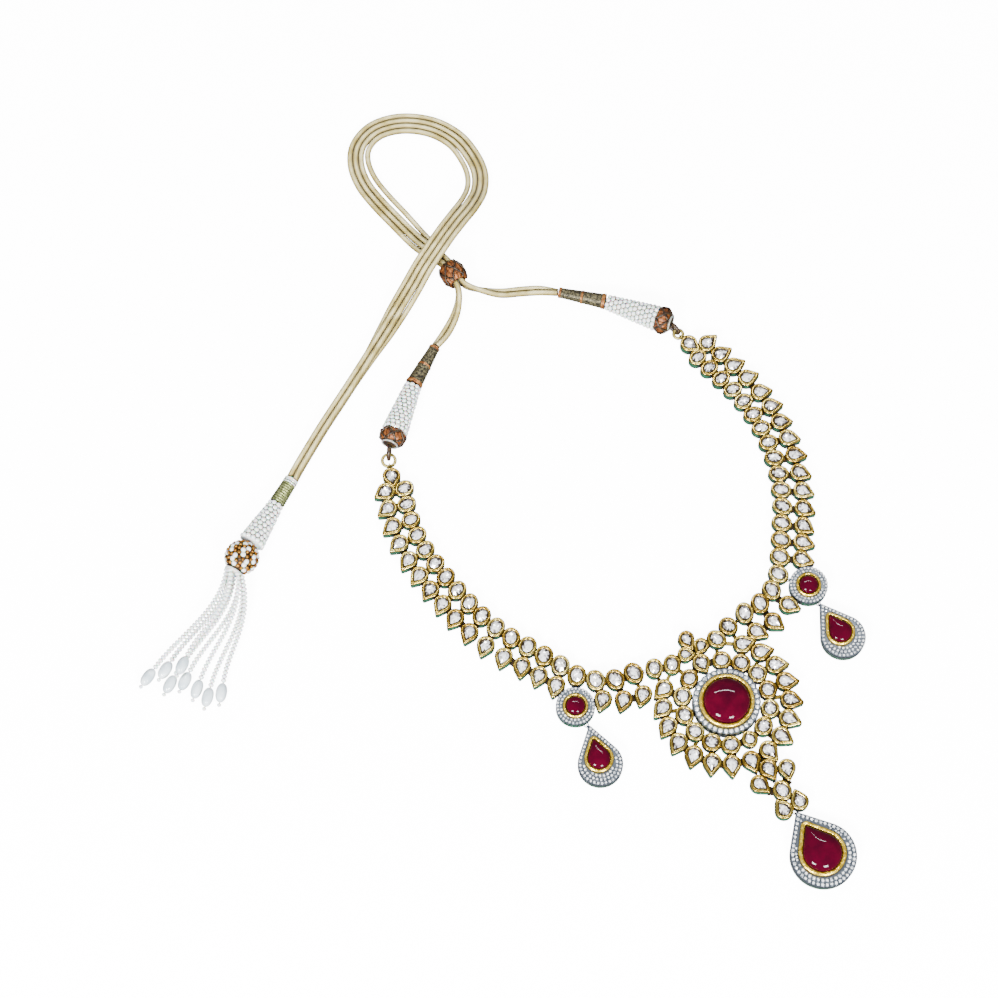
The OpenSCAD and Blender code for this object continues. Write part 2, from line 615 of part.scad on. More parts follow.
module end_ring(at, r) {
    translate([at.x, at.y, ring_z]) ring(r, end_wire_r);
}
module left_end_ring() {
    in_frame() color(gold) end_ring(left_ring_at, left_ring_r);
}
module right_end_ring() {
    in_frame() color(gold) end_ring(right_ring_at, right_ring_r);
}
module thread_cap(span, ring_at) {
    d = (span[1] - span[0]) / norm(span[1] - span[0]);
    front = span[0] - (cap_len + end_gap) * d;
    reach = norm([front.x, front.y] - ring_at);
    r = (reach + 1) / 2;
    on_line(front, span[0]) rotate_extrude($fn = 64) polygon([
        [0, 0], [2, 0], [3.6, 0.6], [4.7, 1.7], [5.2, 3.2], [5.2, 5], [4.9, cap_len], [0, cap_len]
    ]);
    translate([ring_at.x, ring_at.y, r + loop_wire_r + 0.05])
        rotate([0, 0, angle_of([front.x, front.y] - ring_at)]) translate([r, 0, 0]) rotate([90, 0, 0])
        ring(r, loop_wire_r);
}
module left_thread_cap() {
    in_frame() color(copper) thread_cap(left_sleeve, left_ring_at);
}
module right_thread_cap() {
    in_frame() color(copper) thread_cap(right_sleeve, right_ring_at);
}
module left_bead_sleeve() {
    in_frame() color(white) rod(left_sleeve[0], left_sleeve[1], 5.45, 3.6);
}
module right_bead_sleeve() {
    in_frame() color(white) rod(right_sleeve[0], right_sleeve[1], 5.3, 3.3);
}
module binding(span, r1, r2) {
    rod(span[0], span[1], r1, r2);
    for (part = [0, 0.46, 0.92]) rod(
        span[0] + part * (span[1] - span[0]), span[0] + (part + 0.08) * (span[1] - span[0]),
        r1 + (r2 - r1) * part + 0.2, r1 + (r2 - r1) * (part + 0.08) + 0.2
    );
}
module left_binding() {
    in_frame() color(bronze) binding(left_bind, 3.45, 2.1);
}
module right_binding() {
    in_frame() color(bronze) binding(right_bind, 3.15, 2.1);
}
module slider() {
    h = slider_len;
    in_frame() color(copper) translate([slider_at.x, slider_at.y - h / 2, slider_r]) rotate([-90, 0, 0])
        rotate_extrude($fn = 96) polygon([
            [slider_bore_r + 0.8, 0], [4.5, 0], [5.2, 1.2], [slider_r, 3], [slider_r, h - 3], [5.2, h - 1.2],
            [4.5, h], [slider_bore_r + 0.8, h], [slider_bore_r, h - 1.2], [slider_bore_r, 1.2]
        ]);
}

module cord(side, inner) {
    route = cord_route(side, inner);
    in_frame() color(silk) tube(route, [for (p = route) cord_d / 2]);
}
module cord_1() {
    cord(1, false);
}
module cord_2() {
    cord(1, true);
}
module cord_3() {
    cord(-1, true);
}
module cord_4() {
    cord(-1, false);
}

module tassel_binding() {
    in_frame() color(bronze) {
        rod(tassel_collar, tassel_wrap, 2.85, 2.85);
        rod(tassel_collar + 0.5 * (tassel_wrap - tassel_collar), tassel_sleeve_a, 2.65, 3);
    }
}
module tassel_sleeve() {
    a = tassel_sleeve_a + 3 * end_gap * (tassel_sleeve_b - tassel_sleeve_a) / norm(tassel_sleeve_b - tassel_sleeve_a);
    in_frame() color(white) rod(a, tassel_sleeve_b, 3.3, 5.5);
}
module tassel_ball() {
    in_frame() color(gold) translate(tassel_ball_at) rotate([0, 90, tassel_heading]) rotate_extrude($fn = 64)
        polygon(concat(
            [[0, -ball_r]],
            [for (i = [-7 : 4]) ball_r * unit(11.25 * i)],
            [[sqrt(ball_r * ball_r - ball_cut * ball_cut), ball_cut], [0, ball_cut]]
        ));
}
// fringe strands start on a ring of the head, s is the reach along the tassel's axis
function fringe_start(row) = head_ring_r * cos(row[0]);
function fringe_lean(row) = atan((row[2] - fringe_start(row)) / row[1]);
function fringe_point(row, s) =
    let (
        u = unit(tassel_heading),
        v = unit(tassel_heading + 90),
        part = max(0, 1 - s / (row[1] - 5)),
        bow = fringe_bow * (1 - part) * part * part,
        side = fringe_start(row) + (row[2] - fringe_start(row)) * s / row[1] + bow,
        z = row[3] + (head_z + head_ring_r * sin(row[0]) - row[3]) * part * part
    )
    [tassel_ball_at.x + (6 + s) * u.x + side * v.x, tassel_ball_at.y + (6 + s) * u.y + side * v.y, z];
module fringe_strand(row) {
    c = cos(fringe_lean(row));
    half = pearl_len / 2;
    s = row[1];
    r = fringe_d / 2;
    reach = [0.5, 0.08 * s, 0.2 * s, 0.32 * s, 0.46 * s, 0.6 * s, 0.74 * s, s - 5 * c, s - (half + 0.4) * c, s - (half + 0.15) * c,
        s + (half + 0.15) * c, s + (half + 0.4) * c, s + (half + 1.2) * c, s + (half + 1.5) * c];
    radii = [r, r, r, r, r, r, r, r, r, 0.3, 0.3, 0.75, 0.75, 0.3];
    tube([for (x = reach) fringe_point(row, x)], radii);
}
module tassel_strands() {
    in_frame() color(white) {
        for (row = fringe) fringe_strand(row);
        translate([tassel_ball_at.x, tassel_ball_at.y, head_z]) rotate([0, 0, tassel_heading])
            translate([ball_cut + end_gap, 0, 0]) rotate([0, 90, 0]) cylinder(h = 1.4, r = head_r, $fn = 48);
    }
}
module tassel_pearls() {
    in_frame() color(white) for (row = fringe) {
        p = fringe_point(row, row[1]);
        translate(p) rotate([0, 90, tassel_heading + fringe_lean(row)]) rotate_extrude($fn = 48) polygon(concat(
            [[0.45, -pearl_len / 2]],
            [for (i = [-3 : 3]) [pearl_d / 2 * pow(cos(26 * i), 0.6), pearl_len / 2 * sin(29 * i) * 0.999]],
            [[0.45, pearl_len / 2]]
        ));
    }
}

medallion_frame();
medallion_stones();
centre_halo();
centre_ruby();
left_strand_links();
right_strand_links();
left_strand_stones();
right_strand_stones();
left_round_halo();
right_round_halo();
left_round_ruby();
right_round_ruby();
left_drop_halo();
right_drop_halo();
left_drop_ruby();
right_drop_ruby();
pendant_link();
pendant_stones();
main_drop_halo();
main_drop_ruby();
left_end_ring();
right_end_ring();
left_thread_cap();
right_thread_cap();
left_bead_sleeve();
right_bead_sleeve();
left_binding();
right_binding();
slider();
cord_1();
cord_2();
cord_3();
cord_4();
tassel_binding();
tassel_sleeve();
tassel_ball();
tassel_strands();
tassel_pearls();
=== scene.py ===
# Looks of the kundan necklace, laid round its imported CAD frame
import math
import random

import bpy
import numpy as np
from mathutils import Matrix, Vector


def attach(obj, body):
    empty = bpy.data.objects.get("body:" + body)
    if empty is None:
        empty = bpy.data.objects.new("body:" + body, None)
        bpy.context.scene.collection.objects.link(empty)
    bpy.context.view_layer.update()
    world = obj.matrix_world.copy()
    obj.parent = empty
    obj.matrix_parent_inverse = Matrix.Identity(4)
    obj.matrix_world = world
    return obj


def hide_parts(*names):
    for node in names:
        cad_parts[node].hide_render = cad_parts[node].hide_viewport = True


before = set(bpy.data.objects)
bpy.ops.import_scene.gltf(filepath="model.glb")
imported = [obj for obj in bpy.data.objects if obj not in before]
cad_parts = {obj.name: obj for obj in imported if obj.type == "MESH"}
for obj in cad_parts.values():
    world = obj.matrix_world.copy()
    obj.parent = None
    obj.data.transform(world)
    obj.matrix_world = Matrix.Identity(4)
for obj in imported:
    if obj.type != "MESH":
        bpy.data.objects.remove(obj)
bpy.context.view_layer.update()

# The lengths below are millimetres in the necklace's own frame, whose centre is the medallion
mm = 0.001
rowShift = [-1.6, -53.3, 0]


# points in the necklace's millimetres, moved to the row frame in metres
def toFrame(points):
    return (np.asarray(points, dtype=float).reshape(-1, 3) + rowShift) * mm


def unit(degrees):
    return np.array([math.cos(math.radians(degrees)), math.sin(math.radians(degrees))])


def angleOf(v):
    return math.degrees(math.atan2(v[1], v[0]))


def directionOf(v):
    v = np.asarray(v, dtype=float)
    return v / np.linalg.norm(v)


def anglesRound(count):
    return np.arange(count) * 2 * math.pi / count


def unitCircle(count):
    a = anglesRound(count)
    return np.column_stack([np.cos(a), np.sin(a)])


# how far a line of points has run at each of them
def runOf(path):
    return np.concatenate([[0], np.cumsum(np.linalg.norm(np.diff(path, axis=0), axis=1))])


def addObject(name, data):
    made = bpy.data.objects.new(name, data)
    bpy.context.scene.collection.objects.link(made)
    return made


# stands a camera or lamp on a line from the target and turns it to look back along the line
def lookAt(thing, target, turn, height, distance):
    turn, height = math.radians(turn), math.radians(height)
    away = Vector((math.sin(turn) * math.cos(height), -math.cos(turn) * math.cos(height), math.sin(height)))
    thing.location = target + away * distance
    thing.rotation_euler = away.to_track_quat("Z", "Y").to_euler()


# Camera, at the photograph's angle above the surface
cameraSpot = {"target": (-33.2, 118.2, 0.0), "turn": -30.3, "height": 70.0, "distance": 1.1089, "lens": 100.0}


def addCamera(spot):
    data = bpy.data.cameras.new("camera")
    data.lens, data.sensor_width = spot["lens"], 36.0
    data.clip_start, data.clip_end = 0.01, 20.0
    camera = addObject("camera", data)
    lookAt(camera, Vector(toFrame(spot["target"])[0]), spot["turn"], spot["height"], spot["distance"])
    bpy.context.scene.camera = camera


addCamera(cameraSpot)


# Materials
# an sRGB hex colour as linear red, green, blue and alpha
def shade(code):
    parts = [int(code[i : i + 2], 16) / 255 for i in (1, 3, 5)]
    return tuple(c / 12.92 if c <= 0.04045 else ((c + 0.055) / 1.055) ** 2.4 for c in parts) + (1.0,)


# adds a node with its settings, and links or sets its inputs
def addNode(tree, kind, links=(), **settings):
    node = tree.nodes.new(kind)
    for key, value in settings.items():
        setattr(node, key, value)
    for socket, source in links:
        if isinstance(source, bpy.types.NodeSocket):
            tree.links.new(source, node.inputs[socket])
        else:
            node.inputs[socket].default_value = source
    return node


def startMaterial(name, colour="#ffffff", roughness=0.5, metallic=0.0, **more):
    material = bpy.data.materials.new(name)
    material.use_nodes = True
    tree = material.node_tree
    surface = tree.nodes["Principled BSDF"]
    surface.inputs["Base Color"].default_value = shade(colour)
    surface.inputs["Roughness"].default_value = roughness
    surface.inputs["Metallic"].default_value = metallic
    for key, value in more.items():
        surface.inputs[key.replace("_", " ")].default_value = value
    return material, tree, surface


# a colour ramp from (position, hex) pairs
def addRamp(tree, factor, stops):
    ramp = addNode(tree, "ShaderNodeValToRGB", [("Fac", factor)])
    elements = ramp.color_ramp.elements
    while len(elements) < len(stops):
        elements.new(0.5)
    for element, (position, code) in zip(elements, stops):
        element.position, element.color = position, shade(code)
    return ramp.outputs["Color"]


# noise whose features are about size millimetres wide
def addNoise(tree, size, detail=3.0, roughness=0.5):
    where = addNode(tree, "ShaderNodeTexCoord").outputs["Object"]
    return addNode(tree, "ShaderNodeTexNoise", [("Vector", where), ("Scale", 1 / (size * mm)),
        ("Detail", detail), ("Roughness", roughness)]).outputs["Fac"]


# bump of a depth in millimetres
def addBump(tree, surface, height, depth):
    bump = addNode(tree, "ShaderNodeBump", [("Height", height), ("Distance", depth * mm), ("Strength", 1.0)])
    tree.links.new(bump.outputs["Normal"], surface.inputs["Normal"])


def multiply(tree, factor, first, second):
    return addNode(tree, "ShaderNodeMix", [(0, factor), (6, first), (7, second)],
        data_type="RGBA", blend_type="MULTIPLY").outputs[2]


# multiplies colours together and gives them to the surface
def paint(tree, surface, colour, *others):
    for other in others:
        colour = multiply(tree, 1.0, colour, other)
    tree.links.new(colour, surface.inputs["Base Color"])


# 1 in the open and 0 deep in a gap narrower than reach millimetres; the ramps on it below paint shade into
# gaps and corners
def crevice(tree, reach):
    return addNode(tree, "ShaderNodeAmbientOcclusion", [("Distance", reach * mm)], samples=8).outputs["AO"]


# the brightness that each face was given, from 0 to 1
def faceTone(tree):
    return addNode(tree, "ShaderNodeAttribute", attribute_name="tone").outputs["Fac"]


def makeGold():
    # hand-burnished soft gold foil: small dents, and painted shade that darkens its corners nearly to black
    material, tree, surface = startMaterial("burnished gold", metallic=1.0, roughness=0.25)
    patches = addRamp(tree, addNoise(tree, 4.0, 2.0), [(0.3, "#a08840"), (0.5, "#bca44e"), (0.7, "#dccb7c")])
    worn = addRamp(tree, faceTone(tree), [(0.0, "#cdbb98"), (0.5, "#eee6cc"), (1.0, "#ffffff")])
    # painted shade: nearly black deep in corners and gaps
    paintedShade = addRamp(tree, crevice(tree, 1.3), [(0.4, "#1e1405"), (0.85, "#ffffff")])
    paint(tree, surface, patches, worn, paintedShade)
    addBump(tree, surface, addNoise(tree, 2.4, 1.0), 0.03)
    return material


def makeCollet():
    # brighter gold leaf pressed round the rubies, uneven from the pusher
    material, tree, surface = startMaterial("gold leaf collet", metallic=0.75, roughness=0.26)
    leaf = addNoise(tree, 1.1, 5.0, 0.65)
    patches = addRamp(tree, leaf, [(0.34, "#96760c"), (0.5, "#d0ae2a"), (0.68, "#f0dc62")])
    # painted shade: darker brown in the narrow recesses round the stone
    paintedShade = addRamp(tree, crevice(tree, 0.6), [(0.2, "#6b5418"), (0.6, "#ffffff")])
    paint(tree, surface, patches, paintedShade)
    addBump(tree, surface, addNoise(tree, 0.7, 2.0), 0.07)
    return material


def makeEnamel():
    # green vitreous enamel on the backs, with painted shade nearly black between the cups
    material, tree, surface = startMaterial("green enamel", roughness=0.25,
        Coat_Weight=0.2, Coat_Roughness=0.1)
    glaze = addRamp(tree, addNoise(tree, 1.6), [(0.3, "#0f3523"), (0.6, "#1c5439"), (0.85, "#338058")])
    # painted shade in the gaps between cups
    gapShade = addRamp(tree, crevice(tree, 2.2), [(0.4, "#140f05"), (0.8, "#ffffff")])
    paint(tree, surface, glaze, gapShade)
    return material


def makeDullMetal(name, low, high):
    # cloudy, half-dull metal between two colours: the dark seat that outlines each stone, which also darkens
    # the solder blocks and the bead ball's core as painted shade, the cup's outer wall band darkened as
    # painted shade, and the worn ring gold
    material, tree, surface = startMaterial(name, metallic=0.6, roughness=0.5)
    paint(tree, surface, addRamp(tree, addNoise(tree, 0.9), [(0.3, low), (0.7, high)]))
    return material


def makePolki():
    # uncut diamond on foil: each flat facet gets its own grey to white as a painted reflection, with cloudy
    # flecks
    material, tree, surface = startMaterial("foil-backed polki", roughness=0.08, metallic=0.15,
        Coat_Weight=1.0, Coat_Roughness=0.02)
    # painted reflections: a grey for each facet's tone
    facets = [(0.0, "#3c3734"), (0.3, "#8b8888"), (0.6, "#e6e6ea"), (1.0, "#ffffff")]
    cloud = addNoise(tree, 1.3, 5.0, 0.65)
    flecks = addRamp(tree, cloud, [(0.36, "#746c68"), (0.46, "#e6e4e4"), (0.54, "#ffffff")])
    paint(tree, surface, multiply(tree, 0.85, addRamp(tree, faceTone(tree), facets), flecks))
    addBump(tree, surface, addNoise(tree, 1.0, 1.0), 0.04)
    return material


def makeBrilliant():
    # small clear stones in white metal: facets painted from cold grey to white as painted reflections
    material, tree, surface = startMaterial("pave stones", roughness=0.06, metallic=0.2,
        Coat_Weight=1.0, Coat_Roughness=0.02)
    facets = [(0.0, "#10161e"), (0.3, "#66727f"), (0.6, "#dce4ec"), (1.0, "#ffffff")]
    # painted reflections from each facet's tone
    paint(tree, surface, addRamp(tree, faceTone(tree), facets))
    return material


def makeWhiteMetal():
    # rhodium-plated setting, with painted shade darkening it between the stones
    material, tree, surface = startMaterial("white metal", metallic=1.0, roughness=0.3)
    # painted shade: the whole colour follows how closed in each spot is
    paint(tree, surface, addRamp(tree, crevice(tree, 0.8), [(0.3, "#0a0d12"), (0.85, "#747c86")]))
    return material


def makeRuby():
    # polished cabochon over foil: deep crimson with milky veins
    material, tree, surface = startMaterial("ruby cabochon", roughness=0.05, Specular_IOR_Level=0.16)
    crimson = [(0.28, "#2c0010"), (0.5, "#3a0013"), (0.66, "#430116"), (0.84, "#4c0318")]
    paint(tree, surface, addRamp(tree, addNoise(tree, 6.0, 5.0, 0.6), crimson))
    return material


cordRadius = 1.19


def makeSilk():
    # silk cord: fine ribs across, painted shade on its sides under a painted highlight along its top, and
    # olive brown painted shade down where two cords touch
    material, tree, surface = startMaterial("silk cord", roughness=0.62,
        Sheen_Weight=0.2, Sheen_Roughness=0.4)
    where = addNode(tree, "ShaderNodeUVMap").outputs["UV"]
    ribs = addNode(tree, "ShaderNodeTexWave", [("Vector", where), ("Scale", 0.55), ("Distortion", 0.6),
        ("Detail", 1.0), ("Detail Scale", 2.0)], wave_type="BANDS", bands_direction="DIAGONAL",
        wave_profile="SIN").outputs["Fac"]
    body = addRamp(tree, addNoise(tree, 6.0, 3.0), [(0.35, "#b8a962"), (0.65, "#ece3b4")])
    ribbed = multiply(tree, 0.5, body, addRamp(tree, ribs, [(0.0, "#a89e76"), (0.6, "#ffffff")]))
    # the map's first value runs round the cord in millimetres, from its underside
    aroundCord = addNode(tree, "ShaderNodeSeparateXYZ", [("Vector", where)]).outputs["X"]
    turn = addNode(tree, "ShaderNodeMath", [(0, aroundCord), (1, 1 / (2 * math.pi * cordRadius))],
        operation="MULTIPLY").outputs["Value"]
    # painted shade on the underside and sides, white as a painted highlight along the top
    sides = addRamp(tree, turn,
        [(0.27, "#564a18"), (0.38, "#c9bf94"), (0.5, "#ffffff"), (0.62, "#c9bf94"), (0.73, "#564a18")])
    # painted shade, olive brown, where two cords touch
    gapShade = addRamp(tree, crevice(tree, 2.4), [(0.2, "#3f3410"), (0.5, "#a09460"), (0.85, "#ffffff")])
    paint(tree, surface, ribbed, sides, gapShade)
    addBump(tree, surface, ribs, 0.06)
    return material


def makeBeadWhite(name, low, high):
    # milky white glass that lets a little light in, with grey painted shade in the gaps between beads
    material, tree, surface = startMaterial(name, roughness=0.12, Coat_Weight=0.5,
        Subsurface_Weight=0.3, Subsurface_Scale=0.001)
    # painted shade in the gaps between beads
    gapShade = addRamp(tree, crevice(tree, 1.1), [(0.2, "#5c5a40"), (0.4, "#b4bbab"), (0.65, "#ffffff")])
    paint(tree, surface, addRamp(tree, faceTone(tree), [(0.0, low), (1.0, high)]), gapShade)
    return material


def makeThread(name, low, high, metallic, size=1.1):
    # metallic thread wound round and round, with painted shade darkening it between the turns
    material, tree, surface = startMaterial(name, roughness=0.42, metallic=metallic)
    body = addRamp(tree, addNoise(tree, size, 4.0), [(0.38, low), (0.62, high)])
    # painted shade between the turns
    paint(tree, surface, body, addRamp(tree, crevice(tree, 0.6), [(0.25, "#1a120a"), (0.8, "#ffffff")]))
    addBump(tree, surface, addNoise(tree, 0.25, 2.0), 0.05)
    return material


def makePearl():
    # rice pearl nacre: bluish white, soft gloss, with grey-green painted shade close to its thread and
    # neighbours
    material, tree, surface = startMaterial("rice pearl", roughness=0.1,
        Coat_Weight=1.0, Coat_Roughness=0.04)
    nacre = addRamp(tree, addNoise(tree, 4.0), [(0.3, "#bccdd6"), (0.7, "#eef6fa")])
    # painted shade near the thread and neighbouring beads
    paint(tree, surface, nacre, addRamp(tree, crevice(tree, 2.0), [(0.3, "#7c8a78"), (0.8, "#ffffff")]))
    return material


gold, collet, enamel, polki, ruby = makeGold(), makeCollet(), makeEnamel(), makePolki(), makeRuby()
brilliant, whiteMetal, silk, pearl = makeBrilliant(), makeWhiteMetal(), makeSilk(), makePearl()
# painted shade: the dark seat colour fills the gaps between cups and the bead ball's core, and the wall
# colour darkens each cup's outer wall below the rim
darkSeatAndShade = makeDullMetal("dark seat and painted shade", "#120b03", "#3a280c")
shadedWallGold = makeDullMetal("gold wall with painted shade", "#1c1405", "#4a3610")
ringGold = makeDullMetal("worn ring gold", "#8a7630", "#cbbb6e")
seedBead = makeBeadWhite("seed bead glass", "#ecf5f2", "#ffffff")
paleRing = makeBeadWhite("pale thread ring", "#77746e", "#b5b2ab")
paleCotton = makeBeadWhite("white cotton", "#c9c9c2", "#f2f2ec")
copperThread = makeThread("copper thread", "#4a230a", "#935522", 0.4)
bandThread = makeThread("copper band thread", "#6a3a18", "#b07840", 0.5)
darkThread = makeThread("dark bronze thread", "#100e07", "#6e674b", 0.5, 0.7)
loopCord = makeThread("brown loop thread", "#1c120a", "#46341f", 0.3)
oliveWire = makeThread("green gold wire", "#5a6234", "#a2a873", 0.8)
goldBead = makeThread("gold seed bead", "#4c2c08", "#b07c2c", 0.8, 1.6)
print("materials made")


# Meshes are gathered as rings and small solids, then joined into one object a piece
class Heap:
    def __init__(self):
        self.points, self.faces, self.slots, self.tones, self.uvs, self.size = [], [], [], [], [], 0

    def add(self, points, faces, slot=0, tone=0.5, uvs=None):
        points = np.asarray(points, dtype=float)
        self.points.append(points)
        for i, face in enumerate(faces):
            self.faces.append([int(p) + self.size for p in face])
            self.slots.append(slot if np.isscalar(slot) else slot[i])
            self.tones.append(tone if np.isscalar(tone) else tone[i])
            if uvs is not None:
                self.uvs.extend(uvs[i])
        self.size += len(points)

    # joins rings of the same number of points; slots may hold one value for each band
    def loft(self, rings, slots=0, caps=(True, True), tone=0.5, uvs=None, closed=False):
        count, width = len(rings), len(rings[0])
        last = count if closed else count - 1
        bands = [slots] * last if np.isscalar(slots) else list(slots)
        faces, kinds = [], []
        for i in range(last):
            for j in range(width):
                k, after = (j + 1) % width, (i + 1) % count
                faces.append((i * width + j, i * width + k, after * width + k, after * width + j))
                kinds.append(bands[i])
        if caps[0] and not closed:
            faces.append(tuple(reversed(range(width))))
            kinds.append(bands[0])
        if caps[1] and not closed:
            faces.append(tuple(range((count - 1) * width, count * width)))
            kinds.append(bands[-1])
        self.add(np.vstack(rings), faces, kinds, tone, uvs)

    def piece(self, name, materials, slot, replaces, smooth=True, angle=None):
        mesh = bpy.data.meshes.new(name)
        mesh.from_pydata(toFrame(np.vstack(self.points)).tolist(), [], self.faces)
        for material in materials:
            mesh.materials.append(material)
        mesh.polygons.foreach_set("material_index", self.slots)
        mesh.polygons.foreach_set("use_smooth", [smooth] * len(self.faces))
        mesh.attributes.new("tone", "FLOAT", "FACE").data.foreach_set("value", self.tones)
        if self.uvs:
            mesh.uv_layers.new(name="UVMap").data.foreach_set("uv", np.array(self.uvs, dtype=float).ravel())
        if angle is not None:
            mesh.set_sharp_from_angle(angle=math.radians(angle))
        mesh.update()
        made = addObject(name, mesh)
        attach(made, "root")
        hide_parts(*replaces)
        return made


# flat points turned, moved and given a height, which may differ from point to point
def placed(flat, z, at=(0, 0), turn=0.0):
    flat = np.asarray(flat, dtype=float)
    c, s = math.cos(math.radians(turn)), math.sin(math.radians(turn))
    out = np.empty((len(flat), 3))
    out[:, 0] = at[0] + c * flat[:, 0] - s * flat[:, 1]
    out[:, 1] = at[1] + s * flat[:, 0] + c * flat[:, 1]
    out[:, 2] = z
    return out


def ovalOutline(length, width, inset, count):
    return unitCircle(count) * [length / 2 - inset, width / 2 - inset]


tipRound, tipLeast = 0.45, 0.06


# a pear with its body at the origin and its tip along +X, points evenly spread round it
def pearOutline(r, tip, inset, count):
    slope = (r - tipRound) / (tip - tipRound)
    big, small = r - inset, max(tipRound - inset, tipLeast)
    reach, a = (big - small) / slope, math.pi / 2 - math.asin(slope)
    tipArc, side, bodyArc = 2 * small * a, reach * math.sin(a), 2 * big * (math.pi - a)
    back = tipArc + side + bodyArc
    points = []
    for i in range(count):
        s = i / count * (back + side)
        if s < tipArc:
            b = s / small - a
            points.append((reach + small * math.cos(b), small * math.sin(b)))
        elif tipArc + side <= s < back:
            b = a + (s - tipArc - side) / big
            points.append((big * math.cos(b), big * math.sin(b)))
        else:
            # a straight side, from the tip to the body and later back
            way, u = (1, (s - tipArc) / side) if s < back else (-1, 1 - (s - back) / side)
            r = small + (big - small) * u
            points.append((reach * (1 - u) + r * math.cos(a), way * r * math.sin(a)))
    return np.array(points)


def cupOutline(cup, inset, count):
    make = ovalOutline if cup["kind"] == "oval" else pearOutline
    return make(cup["a"], cup["b"], inset, count)


def inCup(cup, flat, z):
    return placed(flat, z, cup["at"], cup["turn"])


# a ring of wire that lies flat or stands upright along its turn
def addWireRing(heap, at, r, wire, turn=0.0, upright=False, slot=0, sides=(20, 8)):
    rings, b = [], -anglesRound(sides[1])
    for a in anglesRound(sides[0]):
        x, y, z = (r + wire * np.cos(b)) * math.cos(a), (r + wire * np.cos(b)) * math.sin(a), wire * np.sin(b)
        flat, height = ([x, -z], y) if upright else ([x, y], z)
        rings.append(placed(np.column_stack(flat), at[2] + height, at, turn))
    heap.loft(rings, slot, closed=True)


# a straight bar between two places on the plan, from one height to another
def addBlock(heap, start, end, width, low, high, slot=0):
    start, away = np.array(start, dtype=float), np.subtract(end, start)
    length, half = np.linalg.norm(away), width / 2
    flat = [(0, -half), (length, -half), (length, half), (0, half)]
    heap.loft([placed(flat, z, start, angleOf(away)) for z in (low, high)], slot)


# Cups and their stones; the profile holds inset from the rim's outline and height, from the back up over the
# rim and down to the seat, and the waves hold how many go round and their size
dice = random.Random(11)
# slots: gold rim, enamel back, dark seat and solder blocks, and the outer wall band below the rim darkened as
# painted shade
cupMetals = [gold, enamel, darkSeatAndShade, shadedWallGold]
cupLook = {"points": 34, "bands": [1] * 7 + [3] + [0] * 4 + [2] * 2,
    "profile": [(0.3, 0.0), (-0.12, 0.15), (-0.18, 1.2), (-0.16, 2.2), (-0.14, 2.9), (-0.05, 3.0),
        (-0.12, 3.2), (-0.22, 3.7), (-0.19, 4.1), (-0.04, 4.36), (0.24, 4.5), (0.64, 4.49), (0.98, 4.36),
        (1.2, 4.1), (1.5, 3.85)],
    "waves": [(2, 0.05), (3, 0.035), (5, 0.02)], "lifts": [(1, 0.05), (3, 0.03)], "straightBelow": 2.5}
# the tones and the stone and facet spreads pick each facet's painted reflection
polkiLook = {"facets": (9, 10, 11), "foot": (1.5, 3.72), "girdle": (1.38, 4.25), "crown": 5.0,
    "centre": 5.12, "pearMiddle": 0.3, "inward": (0.5, 0.72), "tilt": 0.06, "uneven": 0.07,
    "offCentre": (0.5, 0.4), "peakSpread": (-0.05, 0.08), "stoneSpread": (-0.12, 0.15), "facetSpread": 0.1,
    "tones": [(0.05, 0.3, 0.6, 0.9, 1.0), (0.2, 0.5, 0.8, 1.0), (0.6, 0.9, 1.0, 1.0)]}


def wavesRound(a, waves):
    return sum(size * np.sin(count * a + dice.uniform(0, 6)) for count, size in waves)


def addCup(heap, cup):
    count = cupLook["points"]
    a = anglesRound(count)
    wave, lift, rings = wavesRound(a, cupLook["waves"]), wavesRound(a, cupLook["lifts"]), []
    for inset, z in cupLook["profile"]:
        flat = cupOutline(cup, inset, count)
        outward = flat / np.maximum(np.linalg.norm(flat, axis=1, keepdims=True), 0.1)
        part = min(1.0, max(0.0, z - cupLook["straightBelow"]))
        rings.append(inCup(cup, flat + outward * (wave * part)[:, None], z + lift * part))
    heap.loft(rings, cupLook["bands"], tone=dice.random())


# a flat-topped stone with uneven facets, set in its cup
def addPolki(heap, cup):
    look = polkiLook
    count = dice.choice(look["facets"])
    middle = np.array([look["pearMiddle"] if cup["kind"] == "pear" else 0.0, 0.0])
    girdle, foot = (cupOutline(cup, look[part][0], count) for part in ("girdle", "foot"))
    inward = np.array([[dice.uniform(*look["inward"])] for _ in range(count)])
    crown = middle + (np.roll(girdle, -1, axis=0) + girdle - 2 * middle) / 2 * inward
    tilt = np.array([dice.uniform(-look["tilt"], look["tilt"]) for _ in range(2)])
    uneven = np.array([dice.uniform(-look["uneven"], look["uneven"]) for _ in range(count)])
    centre = middle + np.array([dice.uniform(-reach, reach) for reach in look["offCentre"]])
    peak = look["centre"] + dice.uniform(*look["peakSpread"])
    points = np.vstack([inCup(cup, foot, look["foot"][1]), inCup(cup, girdle, look["girdle"][1]),
        inCup(cup, crown, look["crown"] + crown @ tilt + uneven), inCup(cup, [centre], peak)])
    # painted reflections: the underside mid grey, the girdle sides dark, the crown facets a random grey to
    # white, shifted for each stone
    faces, tones, lighter = [tuple(reversed(range(count)))], [0.3], dice.uniform(*look["stoneSpread"])
    for j in range(count):
        k = (j + 1) % count
        low, mid, high = count + j, count + k, 2 * count + j
        beside, peakPoint = 2 * count + k, 3 * count
        faces += [(j, k, mid, low), (low, mid, high), (high, mid, beside), (high, beside, peakPoint)]
        tones.append(0.1)
        for steps in look["tones"]:
            tone = dice.choice(steps) + lighter + dice.uniform(-look["facetSpread"], look["facetSpread"])
            tones.append(min(1.0, max(0.0, tone)))
    heap.add(points, faces, 0, tones)


